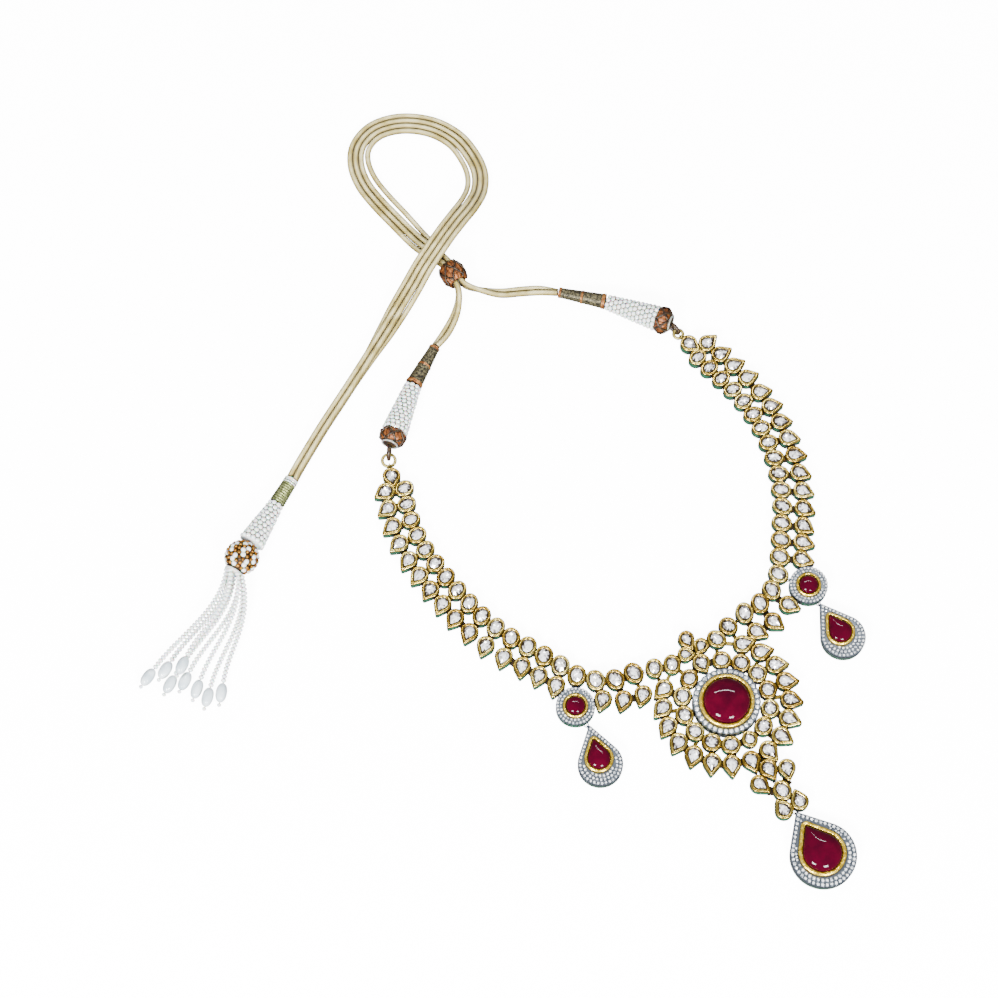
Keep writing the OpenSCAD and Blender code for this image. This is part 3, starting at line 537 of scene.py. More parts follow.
# a small ring on a bar; two that hang in each other at a joint overlap by the reach
eye = {"radius": 0.85, "wire": 0.22, "reach": 0.66, "height": 1.15, "bar": 0.5}


def addEye(heap, start, joint, upright):
    start, away = np.array(start, dtype=float), np.subtract(joint, start)
    near, along = np.linalg.norm(away) + eye["reach"] / 2 - 2 * eye["radius"], directionOf(away)
    low, high = eye["height"] - eye["bar"] / 2, eye["height"] + eye["bar"] / 2
    addBlock(heap, start, start + along * near, eye["bar"], low, high)
    at = start + along * (near + eye["radius"])
    addWireRing(heap, (at[0], at[1], eye["height"]), eye["radius"], eye["wire"], angleOf(along), upright)


# Strands, walked link by link from the medallion to the free end
linkCount, haloLink, haloReach = 19, 15, 8.0
leftSide = {"side": 1, "start": (-24.95, 28.27), "heading": 169.6, "pitch": (7.7, 6.78),
    "rows": [(4, -17.5), (3, 1.1), (3, -5.7), (4, -2.2), (4, -6.6)], "ovalWidth": (6.35, 7.2),
    "lean": [(0, 1), (6, 2), (10, 9), (14, 20), (16, 27), (17, 11), (18, 3)],
    "tips": [(0, 28), (5, 20), (10, 17), (14, 14), (16, -6), (17, -32), (18, -33)],
    "reach": [(0, 7.3), (10, 8.1), (16, 8), (17, 8.6), (18, 9.2)],
    "halo": (-51.5, 28.1), "drop": (-50.9, 18.7), "dropAngle": -105, "dropJoint": (0.3, -0.8),
    "trio": (-66, 147.2), "trioAngle": -108, "ring": (-63.4, 154.2), "ringRadius": 2.6, "crown": (-17, 25.9),
    "sleeve": ((-55.9, 162.4, 5.6), (-39.3, 176.7, 3.75)), "sleeveRadii": (5.6, 3.7),
    "binding": ((-38.8, 177.05, 3.8), (-23, 187.4, 2.45)), "bindingRadii": (3.45, 2.1)}
rightSide = {"side": -1, "start": (25.4, 27.25), "heading": 2.4, "pitch": (7.36, 6.5),
    "rows": [(4, 16.9), (3, 1), (9, 5.3), (2, 0.5)], "ovalWidth": (6.05, 6.95),
    "lean": [(0, -13), (2, -4), (4, 4), (10, 6), (14, 0), (16, 12), (18, 3)],
    "tips": [(0, 9), (3, 26), (8, 28), (12, 27), (14, 12), (16, -4), (17, -17), (18, -30)],
    "reach": [(0, 7.3), (5, 7.8), (10, 8.2), (17, 8.64), (18, 8.5)],
    "halo": (53.1, 24.2), "drop": (53, 15.2), "dropAngle": -88, "dropJoint": (0, -0.6),
    "trio": (66.85, 136.2), "trioAngle": -65, "ring": (65.8, 142.6), "ringRadius": 1.9, "crown": (17, 25.9),
    "sleeve": ((61, 151.5, 5.5), (47.5, 168.9, 3.45)), "sleeveRadii": (5.45, 3.4),
    "binding": ((47.1, 169.35, 3.5), (33, 182.9, 2.45)), "bindingRadii": (3.15, 2.1)}
bothSides = (("left", leftSide), ("right", rightSide))


# the same small unevenness for the same number, as hand-set cups have
def wobble(k):
    return math.sin(math.radians(137 * k + 20))


def lookup(k, table):
    return float(np.interp(k, [row[0] for row in table], [row[1] for row in table]))


def pearCup(at, turn, r, tip):
    return {"kind": "pear", "at": np.array(at), "turn": turn, "a": r, "b": tip}


def ovalCup(at, turn, length, width):
    return {"kind": "oval", "at": np.array(at), "turn": turn, "a": length, "b": width}


# the ovals hold the free end's value and what is added up to the medallion, the pears body radius and tip
strandLook = {"ovalTurn": (10, 14), "ovalLength": (7.5, 0.8), "uneven": 5, "pear": (3.4, 5.4),
    "trio": (3.4, 5.2)}


def strandCups(s):
    turns = [turn for links, turn in s["rows"] for _ in range(links)]
    side, heading, walk = s["side"], s["heading"], [np.array(s["start"])]
    for i in range(linkCount - 1):
        heading += turns[i] if i else 0.0
        pitch = s["pitch"][0] + (s["pitch"][1] - s["pitch"][0]) * i / (linkCount - 2)
        walk.append(walk[-1] + pitch * unit(heading))
    walk = walk[::-1]
    ovals, pears = [], []
    for k in range(linkCount):
        part = k / (linkCount - 1)
        normal = angleOf(walk[max(k - 1, 0)] - walk[min(k + 1, linkCount - 1)]) + 90 * side
        width = s["ovalWidth"][0] + (s["ovalWidth"][1] - s["ovalWidth"][0]) * part
        turn, length = (strandLook[key][0] + strandLook[key][1] * part for key in ("ovalTurn", "ovalLength"))
        turn += strandLook["uneven"] * wobble(k)
        ovals.append(ovalCup(walk[k], normal + side * turn, length, width))
        at = walk[k] + lookup(k, s["reach"]) * unit(normal + side * lookup(k, s["lean"]))
        tip = lookup(k, s["tips"]) + strandLook["uneven"] * wobble(k + 7)
        pears.append(pearCup(at, normal + side * tip, *strandLook["pear"]))
    return ovals, pears, pearCup(s["trio"], s["trioAngle"], *strandLook["trio"])


def haloJoint(s, ovals):
    return np.array(s["halo"]) + haloReach * directionOf(ovals[haloLink]["at"] - np.array(s["halo"]))


# Silk cords: x, y, height of the low cords, spacing, lift angle of the inner cords, extra room of the fourth
leftPair = [(-22.5, 187.75, 1.2, 2.36, 50), (-16, 190.8, 1.15, 2.38, 20), (-9.3, 195.2, 1.3, 2.38, 40),
    (-4.9, 199.6, 2.3, 2.36, 70), (-2.6, 203.4, 3.6, 2.38, 86), (-2.05, 206.6, 4.2, 2.38, 90)]
rightPair = [(32.7, 183.25, 1.2, 2.36, 50), (27.1, 187.8, 1.15, 2.38, 20), (20.6, 191.2, 1.15, 2.38, 15),
    (12.2, 195.1, 1.15, 2.38, 25), (5.2, 200.2, 2.2, 2.36, 65), (1.5, 203.6, 3.6, 2.38, 86),
    (0.35, 206.6, 4.2, 2.38, 90)]
bundle = [(-0.85, 211, 4.2, 2.38, 90, 0), (-0.85, 215.3, 4.15, 2.38, 90, 0), (-1.3, 218.6, 3.6, 2.38, 80, 0),
    (-2.1, 222.6, 2.5, 2.38, 60, 0), (-3.2, 227.4, 1.5, 2.38, 35, 0), (-5, 234, 1.15, 2.38, 10, 0.2),
    (-7.4, 245, 1.15, 2.35, 0, 0.8), (-9.8, 257, 1.15, 2.35, 0, 1), (-10.7, 267, 1.15, 2.35, 0, 1),
    (-8.9, 276, 1.15, 2.35, 0, 0.6), (-4.3, 282.6, 1.15, 2.35, 0, 0.2), (3.5, 285.9, 1.15, 2.35, 0, 0),
    (12, 285, 1.15, 2.35, 0, 0), (20, 281, 1.15, 2.35, 0, 0), (27, 274.4, 1.15, 2.35, 0, 0),
    (31.6, 265.5, 1.15, 2.35, 0, 0), (32.8, 256, 1.15, 2.35, 0, 0.3), (31.6, 247.5, 1.5, 2.35, 0, 0.5),
    (27.3, 240.2, 3, 2.35, 0, 0.4), (20.8, 235, 5.6, 2.3, 0, 0.2), (13, 230.9, 7.8, 2.3, 0, 0),
    (5.5, 227.2, 8.6, 2.28, 0, 0), (-2.5, 223, 8.6, 2.28, 0, 0), (-10.5, 218.8, 7.9, 2.28, 0, 0),
    (-19, 213.9, 5.6, 2.34, 10, 0), (-28, 209, 3, 2.38, 25, 0), (-37, 203.8, 1.5, 2.38, 50, 0),
    (-46.5, 198.3, 1.15, 2.36, 75, 0), (-57.8, 191.8, 1.15, 2.3, 90, 0), (-67.8, 186.2, 1.15, 2.3, 90, 0),
    (-77.9, 180.6, 1.15, 2.3, 90, 0), (-88, 174.6, 1.15, 2.3, 90, 0), (-96.1, 169.6, 1.15, 2.3, 90, 0),
    (-100.9, 166.4, 1.2, 2.3, 90, 0)]
cordSides, cordSteps = 12, 6
# which side of the route each cord lies on, and whether it is an inner one
cordPlaces = [(1, False), (1, True), (-1, True), (-1, False)]


def across(rows, i):
    first, last = rows[max(i - 1, 0)], rows[min(i + 1, len(rows) - 1)]
    return directionOf([first[1] - last[1], last[0] - first[0]])


def cordStops(rows, side, inner, doubled):
    stops = []
    for i, row in enumerate(rows):
        spacing, lift = row[3], math.radians(row[4])
        if doubled:
            extra = row[5] if side < 0 else 0
            out = side * (spacing / 2 + (0 if inner else spacing * math.cos(lift) + extra))
        else:
            out = side * (-0.5 if inner else 0.5) * spacing * math.cos(lift)
        flat = np.array(row[:2]) + out * across(rows, i)
        stops.append((flat[0], flat[1], row[2] + (spacing * math.sin(lift) if inner else 0)))
    return stops


# a smooth line through all the points
def spline(points, steps):
    p = np.array(points, dtype=float)
    out = []
    for i in range(len(p) - 1):
        a, b, c, d = p[max(i - 1, 0)], p[i], p[i + 1], p[min(i + 2, len(p) - 1)]
        bend, twist = 2 * a - 5 * b + 4 * c - d, 3 * b - a - 3 * c + d
        for t in np.arange(steps) / steps:
            out.append(0.5 * (2 * b + (c - a) * t + bend * t * t + twist * t ** 3))
    return np.array(out + [p[-1]])


def addTube(heap, path, radius, sides, slot=0, unwrap=False):
    path = np.asarray(path, dtype=float)
    ahead = np.gradient(path, axis=0)
    ahead /= np.linalg.norm(ahead, axis=1, keepdims=True)
    left = np.column_stack([-ahead[:, 1], ahead[:, 0], np.zeros(len(path))])
    left /= np.linalg.norm(left, axis=1, keepdims=True)
    above = np.cross(ahead, left)
    a = (anglesRound(sides) - math.pi / 2)[None, :, None]
    rings = path[:, None] + radius * (np.cos(a) * left[:, None] + np.sin(a) * above[:, None])
    run, uvs = runOf(path), []
    for i in range(len(path) - 1):
        for j in range(sides):
            u, after = 2 * math.pi * radius / sides * j, 2 * math.pi * radius / sides * (j + 1)
            uvs.append(((u, run[i]), (after, run[i]), (after, run[i + 1]), (u, run[i + 1])))
    uvs += [[(0.0, 0.0)] * sides] * 2
    heap.loft(rings, slot, uvs=uvs if unwrap else None)
    return run[-1]


cordRoutes, cordPieces, cordLengths = [], [], []
for number, (side, inner) in enumerate(cordPlaces, 1):
    stops = cordStops(leftPair if side > 0 else rightPair, side, inner, False)
    heap, route = Heap(), spline(stops + cordStops(bundle, side, inner, True), cordSteps)
    cordLengths.append(addTube(heap, route, cordRadius, cordSides, unwrap=True))
    cordRoutes.append(route)
    cordPieces.append(heap.piece(f"silk_cord_{number}", [silk], "silk", [f"cord_{number}"]))
print("cords made", [round(length) for length in cordLengths])


# Medallion, strands and pendant link: cups on bars and rings, with dark solder blocks in the narrow gaps as
# painted shade
bar = {"width": 1.4, "low": 0.3, "high": 1.7}
solderShade = {"gap": 1.3, "width": 2.6, "low": 0.5, "high": 2.5, "sink": 0.8, "split": 0.04}
innerRing, outerRing = 17.1, 24.6


def addBar(heap, start, end):
    addBlock(heap, start, end, bar["width"], bar["low"], bar["high"])


def addSolderShade(heap, cups):
    # a dark block, painted shade, from near the middle of a gap into each cup, with a hairline between the
    # two
    edges = [inCup(cup, cupOutline(cup, 0.0, 40), 0)[:, :2] for cup in cups]
    for i, edge in enumerate(edges):
        for other in edges[i + 1:]:
            apart = np.linalg.norm(edge[:, None] - other[None], axis=2)
            j, k = np.unravel_index(apart.argmin(), apart.shape)
            if 0.1 < apart[j, k] < solderShade["gap"]:
                middle, along = (edge[j] + other[k]) / 2, directionOf(other[k] - edge[j])
                for way in (-along, along):
                    addBlock(heap, middle + solderShade["split"] * way,
                        middle + (apart[j, k] / 2 + solderShade["sink"]) * way,
                        solderShade["width"], solderShade["low"], solderShade["high"], 2)


def addCups(heap, stones, cups):
    for cup in cups:
        addCup(heap, cup)
        addPolki(stones, cup)
    addSolderShade(heap, cups)


def finishCups(heap, stones, name, frameNode, stonesNode):
    heap.piece(f"{name}_bezels", cupMetals, "gold", [frameNode], angle=50)
    stones.piece(f"{name}_polki", [polki], "polki", [stonesNode], smooth=False)


# the outer pears point straight outward at the foot and turn their tips down at the shoulders
medallion = {"innerCups": 14, "innerOval": (7.4, 6.95), "outerCups": 8, "shoulder": 43.5, "step": 17.75,
    "lean": 60, "leanFades": 1.6, "outerPear": (3.5, 5.6), "crownOval": (7.6, 6.6),
    "crown": [(17, 25.9, 62), (10.2, 23.7, 66)], "peak": (0, 29.8), "flank": (3.7, 24.6), "foot": (0, -30.4)}


def medallionCups():
    cups, m = [], medallion
    for i in range(m["innerCups"]):
        a = 90 + 360 * i / m["innerCups"]
        cups.append(ovalCup(innerRing * unit(a), a + 90 + 6 * wobble(i), *m["innerOval"]))
    cups[0], cups[7] = pearCup((0, innerRing + 1.5), -90, 3.4, 4.7), pearCup((0, -innerRing), 90, 3.1, 3.6)
    for side in (1, -1):
        for i in range(m["outerCups"]):
            a = m["shoulder"] - m["step"] * i
            leaning = m["lean"] * (1 - i / (m["outerCups"] - 1)) ** m["leanFades"]
            at, tip = outerRing * unit(a), a - leaning + 3 * wobble(i)
            cups.append(pearCup((side * at[0], at[1]), tip if side > 0 else 180 - tip, *m["outerPear"]))
    for x, y, turn in m["crown"]:
        cups += [ovalCup((-x, y), turn, *m["crownOval"]), ovalCup((x, y), 180 - turn, *m["crownOval"])]
    x, y = m["flank"]
    cups += [pearCup(m["peak"], -90, 3.1, 5.2), pearCup((x, y), 214, 2.85, 4.15),
        pearCup((-x, y), -34, 2.85, 4.15), pearCup(m["foot"], -90, 3.45, 5.5)]
    return cups


medallionJoint, dropJoint = (0, -36.2), (0, -50.3)


def addMedallion():
    heap, stones, half = Heap(), Heap(), bar["width"] / 2
    addCups(heap, stones, medallionCups())
    corners = [(-half, bar["low"]), (half, bar["low"]), (half, bar["high"]), (-half, bar["high"])]
    for r in (innerRing, outerRing):
        heap.loft([placed(unitCircle(96) * (r + x), z) for x, z in corners + corners[:1]], 0, (False, False))
    for i in range(8):
        addBar(heap, innerRing * unit(22.5 + 45 * i), outerRing * unit(22.5 + 45 * i))
    (outerX, outerY, _), (innerX, innerY, _) = medallion["crown"]
    x, y = medallion["flank"]
    for side in (-1, 1):
        addBar(heap, (side * 17.8, 17), (side * outerX, outerY))
        addBar(heap, (side * outerX, outerY), (side * innerX, innerY))
        addBar(heap, (side * x, y), medallion["peak"])
    addBar(heap, (0, -outerRing), medallion["foot"])
    for _, s in bothSides:
        addEye(heap, s["crown"], (np.array(s["crown"]) + s["start"]) / 2, False)
    addEye(heap, medallion["foot"], medallionJoint, False)
    finishCups(heap, stones, "medallion", "medallion_frame", "medallion_stones")


# the loop at a strand's free end, where the end ring hangs
strandLoop = {"radius": 1.0, "wire": 0.3, "height": 1.65, "bar": 0.6, "low": 0.75, "high": 1.95}


def addStrand(s, name):
    heap, stones = Heap(), Heap()
    ovals, pears, trio = strandCups(s)
    addCups(heap, stones, ovals + pears[:haloLink] + pears[haloLink + 1:] + [trio])
    for k in range(linkCount):
        at = ovals[k]["at"]
        if k != haloLink:
            addBar(heap, at, pears[k]["at"])
        ahead = np.array(s["crown"]) if k == linkCount - 1 else ovals[k + 1]["at"]
        addEye(heap, at, (at + ahead) / 2, True)
        if k > 0:
            addEye(heap, at, (at + ovals[k - 1]["at"]) / 2, False)
    addEye(heap, ovals[haloLink]["at"], haloJoint(s, ovals), False)
    addBar(heap, ovals[0]["at"], trio["at"])
    toRing = np.array(s["ring"]) - trio["at"]
    gap, away = np.linalg.norm(toRing) - s["ringRadius"], directionOf(toRing)
    end = trio["at"] + (gap - strandLoop["radius"]) * away
    addBlock(heap, trio["at"], end, strandLoop["bar"], strandLoop["low"], strandLoop["high"])
    at = trio["at"] + gap * away
    addWireRing(heap, (at[0], at[1], strandLoop["height"]), strandLoop["radius"], strandLoop["wire"],
        angleOf(away), True, 0, (28, 10))
    finishCups(heap, stones, f"{name}_strand", f"{name}_strand_links", f"{name}_strand_stones")
    return ovals


def addPendant():
    heap, stones = Heap(), Heap()
    centre, foot = (0, -40.6), 47.2
    arms = [pearCup((6.3, -33.9), -111, 3.35, 5.25), pearCup((-6.3, -33.9), -69, 3.35, 5.25),
        pearCup((3.5, -47.6), 82, 3.35, 4.95), pearCup((-3.5, -47.6), 98, 3.35, 4.95)]
    addCups(heap, stones, arms[:2] + [ovalCup(centre, 90, 8, 6.8)] + arms[2:])
    for cup in arms:
        addBar(heap, centre, cup["at"])
    addBar(heap, (-3.5, -foot), (3.5, -foot))
    addEye(heap, centre, medallionJoint, True)
    addEye(heap, (0, -foot), dropJoint, False)
    finishCups(heap, stones, "pendant", "pendant_link", "pendant_stones")


addMedallion()
strandOvals = {name: addStrand(s, name) for name, s in bothSides}
addPendant()
print("bezels and polki made")


# Halos of small stones round the rubies; the rim holds steps outward from the stone's radius and upward
brilliantLook = {"facets": 8, "rim": [(0.1, -0.15), (0.1, 0.12), (-0.08, 0.2)], "inset": 0.1, "crown": 0.16,
    "table": 0.52, "tableAt": 0.2, "rise": 0.26}


def addBrilliant(heap, at, r, z):
    # a small stone in a bead-cut setting: rim, crown facets and table
    b = brilliantLook
    count, start = b["facets"], dice.uniform(0, 360)
    circle = unitCircle(count)
    heap.loft([placed(circle * (r + out), z + up, at, start) for out, up in b["rim"]], 0, (False, True))
    crown = placed(circle * (r - b["inset"]), z + b["crown"], at, start)
    table = placed(circle * r * b["table"], z + b["tableAt"] + b["rise"] * r, at, start + 180 / count)
    table[:, 2] += np.array([dice.uniform(-0.03, 0.03) for _ in range(count)])
    # painted reflections: each facet a random tone from dark to white
    faces, tones = [tuple(reversed(range(count)))], [0.2]
    for j in range(count):
        k = (j + 1) % count
        faces += [(j, k, count + j), (count + j, k, count + k)]
        tones += [dice.choice((0.1, 0.4, 0.6, 0.85, 1.0)), dice.choice((0.1, 0.35, 0.7, 0.9, 1.0))]
    faces.append(tuple(range(count, 2 * count)))
    tones.append(dice.choice((0.45, 0.8, 1.0, 1.0)))
    heap.add(np.vstack([crown, table]), faces, 1, tones)


# the tray up to its scalloped edge, then the collet up and over to the stone's seat
def haloRings(halo):
    outer, inner, tray, top, width = (halo[part] for part in ("outer", "collet", "tray", "top", "width"))
    count = len(outer(0))
    turn = np.arange(count) / count
    inward = outer(0.5) - outer(0)
    edge = outer(0) + inward * 0.56 * (1 - np.abs(np.cos(turn * halo["scallops"] * math.pi)))[:, None]
    uneven = 0.05 * np.sin(turn * 2 * math.pi * 9 + 1.0) + 0.05 * np.sin(turn * 2 * math.pi * 23)
    walls = [(outer(0.6), 0.0), (outer(0.1), 0.3), (outer(0.1), tray - 1.5)]
    trayRim = [(edge, tray - 1.3), (edge, tray - 0.25), (edge + inward * 0.3, tray)]
    leaf = [(inner(0.0), tray), (inner(0.0), top - 0.55), (inner(0.12), top - 0.22), (inner(0.45), top),
        (inner(width * 0.62), top - 0.03 + uneven), (inner(width * 0.9), top - 0.35 + uneven),
        (inner(width), top - 0.7), (inner(width), halo["floor"])]
    return walls + trayRim + leaf, [3] * 3 + [0] * 3 + [2] * 7


def circleOutline(r, count):
    return lambda inset: (r - inset) * unitCircle(count)


def dropOutline(r, tip, centre, count, grown=0.0):
    # drawn from the drop's tip along +X
    return lambda inset: np.array([centre, 0.0]) - pearOutline(r, tip, inset - grown, count)


def spreadAlong(outline, spacing, offset):
    closed = np.vstack([outline, outline[:1]])
    run = runOf(closed)
    count = max(3, round(run[-1] / spacing))
    at = (np.arange(count) + offset) / count * run[-1] % run[-1]
    return np.column_stack([np.interp(at, run, closed[:, 0]), np.interp(at, run, closed[:, 1])])


def inside(outline, spot):
    ahead = np.roll(outline, -1, axis=0)
    crossed = (outline[:, 1] > spot[1]) != (ahead[:, 1] > spot[1])
    rise = np.where(crossed, ahead[:, 1] - outline[:, 1], 1)
    x = outline[:, 0] + (spot[1] - outline[:, 1]) * (ahead[:, 0] - outline[:, 0]) / rise
    return bool(np.sum(crossed & (x > spot[0])) % 2)


# rows of full-sized stones first, then smaller ones wherever there is room between them
filler = {"part": 0.68, "insets": np.arange(1.3, 4.4, 0.22), "room": 1.07, "fromCollet": 0.1}


def spotsFor(halo):
    taken, guard = [], halo["collet"](0.0)
    for part, rows in ((1, halo["rows"]), (filler["part"], filler["insets"])):
        size = halo["stone"] * part
        for row, inset in enumerate(rows):
            for spot in spreadAlong(halo["outer"](inset), halo["spacing"] * part, 0.5 * (row % 2)):
                free = all(np.linalg.norm(spot - other) > filler["room"] * (size + r) for other, r in taken)
                clear = np.linalg.norm(guard - spot, axis=1).min() > size + filler["fromCollet"]
                if free and clear and not inside(guard, spot):
                    taken.append((spot, size))
    return taken


def addHalo(name, node, halo, at, turn, eyes=()):
    heap = Heap()
    rings, kinds = haloRings(halo)
    heap.loft([placed(flat, z, at, turn) for flat, z in rings], kinds)
    for spot, size in spotsFor(halo):
        addBrilliant(heap, placed([spot], 0, at, turn)[0][:2], size, halo["tray"])
    for start, joint, upright in eyes:
        addEye(heap, start, joint, upright)
    heap.piece(name, [whiteMetal, brilliant, collet, enamel], "small_stone", [node], angle=35)


dome = {"steps": 13, "fullness": 0.85}


def addCabochon(name, node, outline, middle, heights, at=(0, 0), turn=0):
    # straight wall, then a dome that closes over its middle
    base, shoulder, top = heights
    heap, rings = Heap(), [placed(outline, base, at, turn)]
    for i in range(dome["steps"]):
        a = math.radians(90 * i / dome["steps"])
        flat = middle + (outline - middle) * math.cos(a) ** dome["fullness"]
        rings.append(placed(flat, shoulder + (top - shoulder) * math.sin(a), at, turn))
    heap.loft(rings)
    heap.piece(name, [ruby], "ruby", [node])


centreHalo = {"outer": circleOutline(13.4, 210), "collet": circleOutline(10.7, 210), "scallops": 35,
    "tray": 5.2, "top": 6.9, "width": 1.5, "floor": 4.4, "rows": [1.36], "spacing": 2.16, "stone": 1.0}
sideHalo = {"outer": circleOutline(7.7, 180), "collet": circleOutline(4.9, 180), "scallops": 30,
    "tray": 4.6, "top": 5.7, "width": 1.08, "floor": 3.6, "rows": [0.72, 2.03],
    "spacing": 1.42, "stone": 0.62}
sideDrop = {"outer": dropOutline(8.8, 15.7, 15.7, 240), "collet": dropOutline(4.35, 7.65, 13.6, 240, 1.3),
    "scallops": 0, "tray": 4.6, "top": 5.8, "width": 1.26, "floor": 3.7, "rows": [0.95, 2.4, 3.85],
    "spacing": 1.5, "stone": 0.66}
mainDrop = {"outer": dropOutline(12.8, 19.2, 19.2, 240), "collet": dropOutline(7.5, 11.9, 18.3, 240, 1.7),
    "scallops": 0, "tray": 4.6, "top": 5.8, "width": 1.64, "floor": 3.7, "rows": [1.05, 2.75, 4.3],
    "spacing": 1.74, "stone": 0.76}
rubies = {"centre": circleOutline(9, 72)(0), "round": circleOutline(3.65, 48)(0),
    "drop": dropOutline(4.35, 7.65, 13.6, 64)(0), "main": dropOutline(7.5, 11.9, 18.3, 72)(0)}
mainDropAt, mainDropTip = (0, -50.65), (0, -69.85)

addHalo("centre_pave", "centre_halo", centreHalo, (0, 0), 0)
addCabochon("centre_cabochon", "centre_ruby", rubies["centre"], (0, 0), (4.54, 6.4, 9.8))
for name, s in bothSides:
    at, angle = np.array(s["halo"]), s["dropAngle"]
    joint, tip = at + s["dropJoint"] + [0, -7.7], np.array(s["drop"]) + 15.7 * unit(angle)
    addHalo(f"{name}_round_pave", f"{name}_round_halo", sideHalo, at, 0,
        [(at, haloJoint(s, strandOvals[name]), True), (at, joint, False)])
    addCabochon(f"{name}_round_cabochon", f"{name}_round_ruby", rubies["round"], (0, 0), (3.74, 5.3, 7.0),
        at)
    addHalo(f"{name}_drop_pave", f"{name}_drop_halo", sideDrop, s["drop"], angle, [(tip, joint, True)])
    addCabochon(f"{name}_drop_cabochon", f"{name}_drop_ruby", rubies["drop"], (12.6, 0), (3.75, 5.4, 7.2),
        s["drop"], angle)
addHalo("main_drop_pave", "main_drop_halo", mainDrop, mainDropAt, -90, [(mainDropTip, dropJoint, True)])
addCabochon("main_drop_cabochon", "main_drop_ruby", rubies["main"], (17.3, 0), (3.75, 5.4, 8.4),
    mainDropAt, -90)
print("halos and rubies made")


# Threadwork and beads, turned about lines in space
def basis(axis):
    axis = directionOf(axis)
    left = directionOf(np.cross([0, 0, 1], axis))
    return axis, left, np.cross(axis, left)


# a solid of revolution from (distance along, radius) pairs, with optional lengthwise ridges
def addTurned(heap, start, axis, profile, sides, slot=0, flutes=0, depth=0.0, caps=(True, True)):
    axis, left, above = basis(axis)
    a = anglesRound(sides)[:, None]
    groove = depth * (1 - np.abs(np.sin(a * flutes / 2)))
    outward = np.cos(a) * left + np.sin(a) * above
    heap.loft([np.asarray(start) + x * axis + (r - groove) * outward for x, r in profile], slot, caps)


def makeBall(count=9, rings=5):
    points, faces = [(-1.0, 0.0, 0.0)], []
    for i in range(1, rings + 1):
        b = math.pi * i / (rings + 1)
        points += [(-math.cos(b), math.sin(b) * c, math.sin(b) * s) for c, s in unitCircle(count)]
    points.append((1.0, 0.0, 0.0))
    last = len(points) - 1
    for j in range(count):
        k = (j + 1) % count
        faces += [(0, 1 + k, 1 + j), (last, last - count + j, last - count + k)]
        for i in range(rings - 1):
            low, high = 1 + i * count, 1 + (i + 1) * count
            faces.append((low + j, low + k, high + k, high + j))
    return np.array(points), faces


ballPoints, ballFaces = makeBall()


# a ball stretched along three directions, whose lengths are its half sizes
def addBall(heap, at, first, second, third, slot, tone):
    heap.add(np.asarray(at) + ballPoints @ np.array([first, second, third]), ballFaces, slot, tone)


def addBead(heap, at, axis, half, radius, slot=0):
    axis, left, above = basis(axis)
    addBall(heap, at, half * axis, radius * left, radius * above, slot, dice.uniform(0.35, 1.0))


# rings of seed beads in brick order on a cone, each bead lying with its hole round the cone; the shares make
# a bead a little longer than its place, so that neighbours touch
sleeveLook = {"bead": 2.05, "row": 1.75, "uneven": 0.05, "thick": 0.5, "alongShare": 0.56,
    "aroundShare": 1.02, "coreInset": 0.62, "coreSides": 24}


def addBeadRings(heap, start, end, radii, bead, row):
    look = sleeveLook
    start, end = np.array(start, dtype=float), np.array(end, dtype=float)
    length = np.linalg.norm(end - start)
    axis, left, above = basis(end - start)
    count = max(2, round(length / row))
    for i in range(count):
        part = (i + 0.5) / count
        r = radii[0] + (radii[1] - radii[0]) * part - bead / 2
        around = max(6, round(2 * math.pi * r / bead))
        for j in range(around):
            a = 2 * math.pi * (j + 0.5 * (i % 2)) / around
            out = math.cos(a) * left + math.sin(a) * above
            at = start + axis * length * part + out * (r + dice.uniform(-look["uneven"], look["uneven"]))
            # the ball's first direction points outward, so that it is flatter there
            lengthwise = axis * length / count * look["alongShare"]
            sideways = np.cross(out, axis) * math.pi * r / around * look["aroundShare"]
            addBall(heap, at, out * bead * look["thick"], lengthwise, sideways, 0, dice.uniform(0.3, 1.0))
    core = [(x, r - bead * look["coreInset"]) for x, r in zip((0.1, length - 0.1), radii)]
    addTurned(heap, start, axis, core, look["coreSides"])


# a wound thread seen from the side: bulges over a radius that may taper
def windings(length, turns, radii, bulge, steps=4):
    profile = []
    for i in range(turns * steps + 1):
        part = i / (turns * steps)
        r = radii[0] + (radii[1] - radii[0]) * part
        profile.append((length * part, r + bulge * abs(math.sin(math.pi * i / steps))))
    return profile


# thin threads that wind both ways over a solid of revolution
def addNet(heap, start, axis, profile, strands, twist, wire, slot):
    axis, left, above = basis(axis)
    x = np.linspace(profile[0][0], profile[-1][0], 15)
    r = np.interp(x, [p[0] for p in profile], [p[1] for p in profile])
    wound = math.radians(twist) * (x - x[0]) / (x[-1] - x[0])
    for way in (1, -1):
        for i in range(strands):
            a = 2 * math.pi * (i + 0.2 * dice.random()) / strands + way * wound
            reach = r + wire * (0.45 + 0.25 * way * np.cos(x * 2.1 + i))
            outward = np.cos(a)[:, None] * left + np.sin(a)[:, None] * above
            addTube(heap, np.asarray(start) + x[:, None] * axis + reach[:, None] * outward, wire, 6, slot)


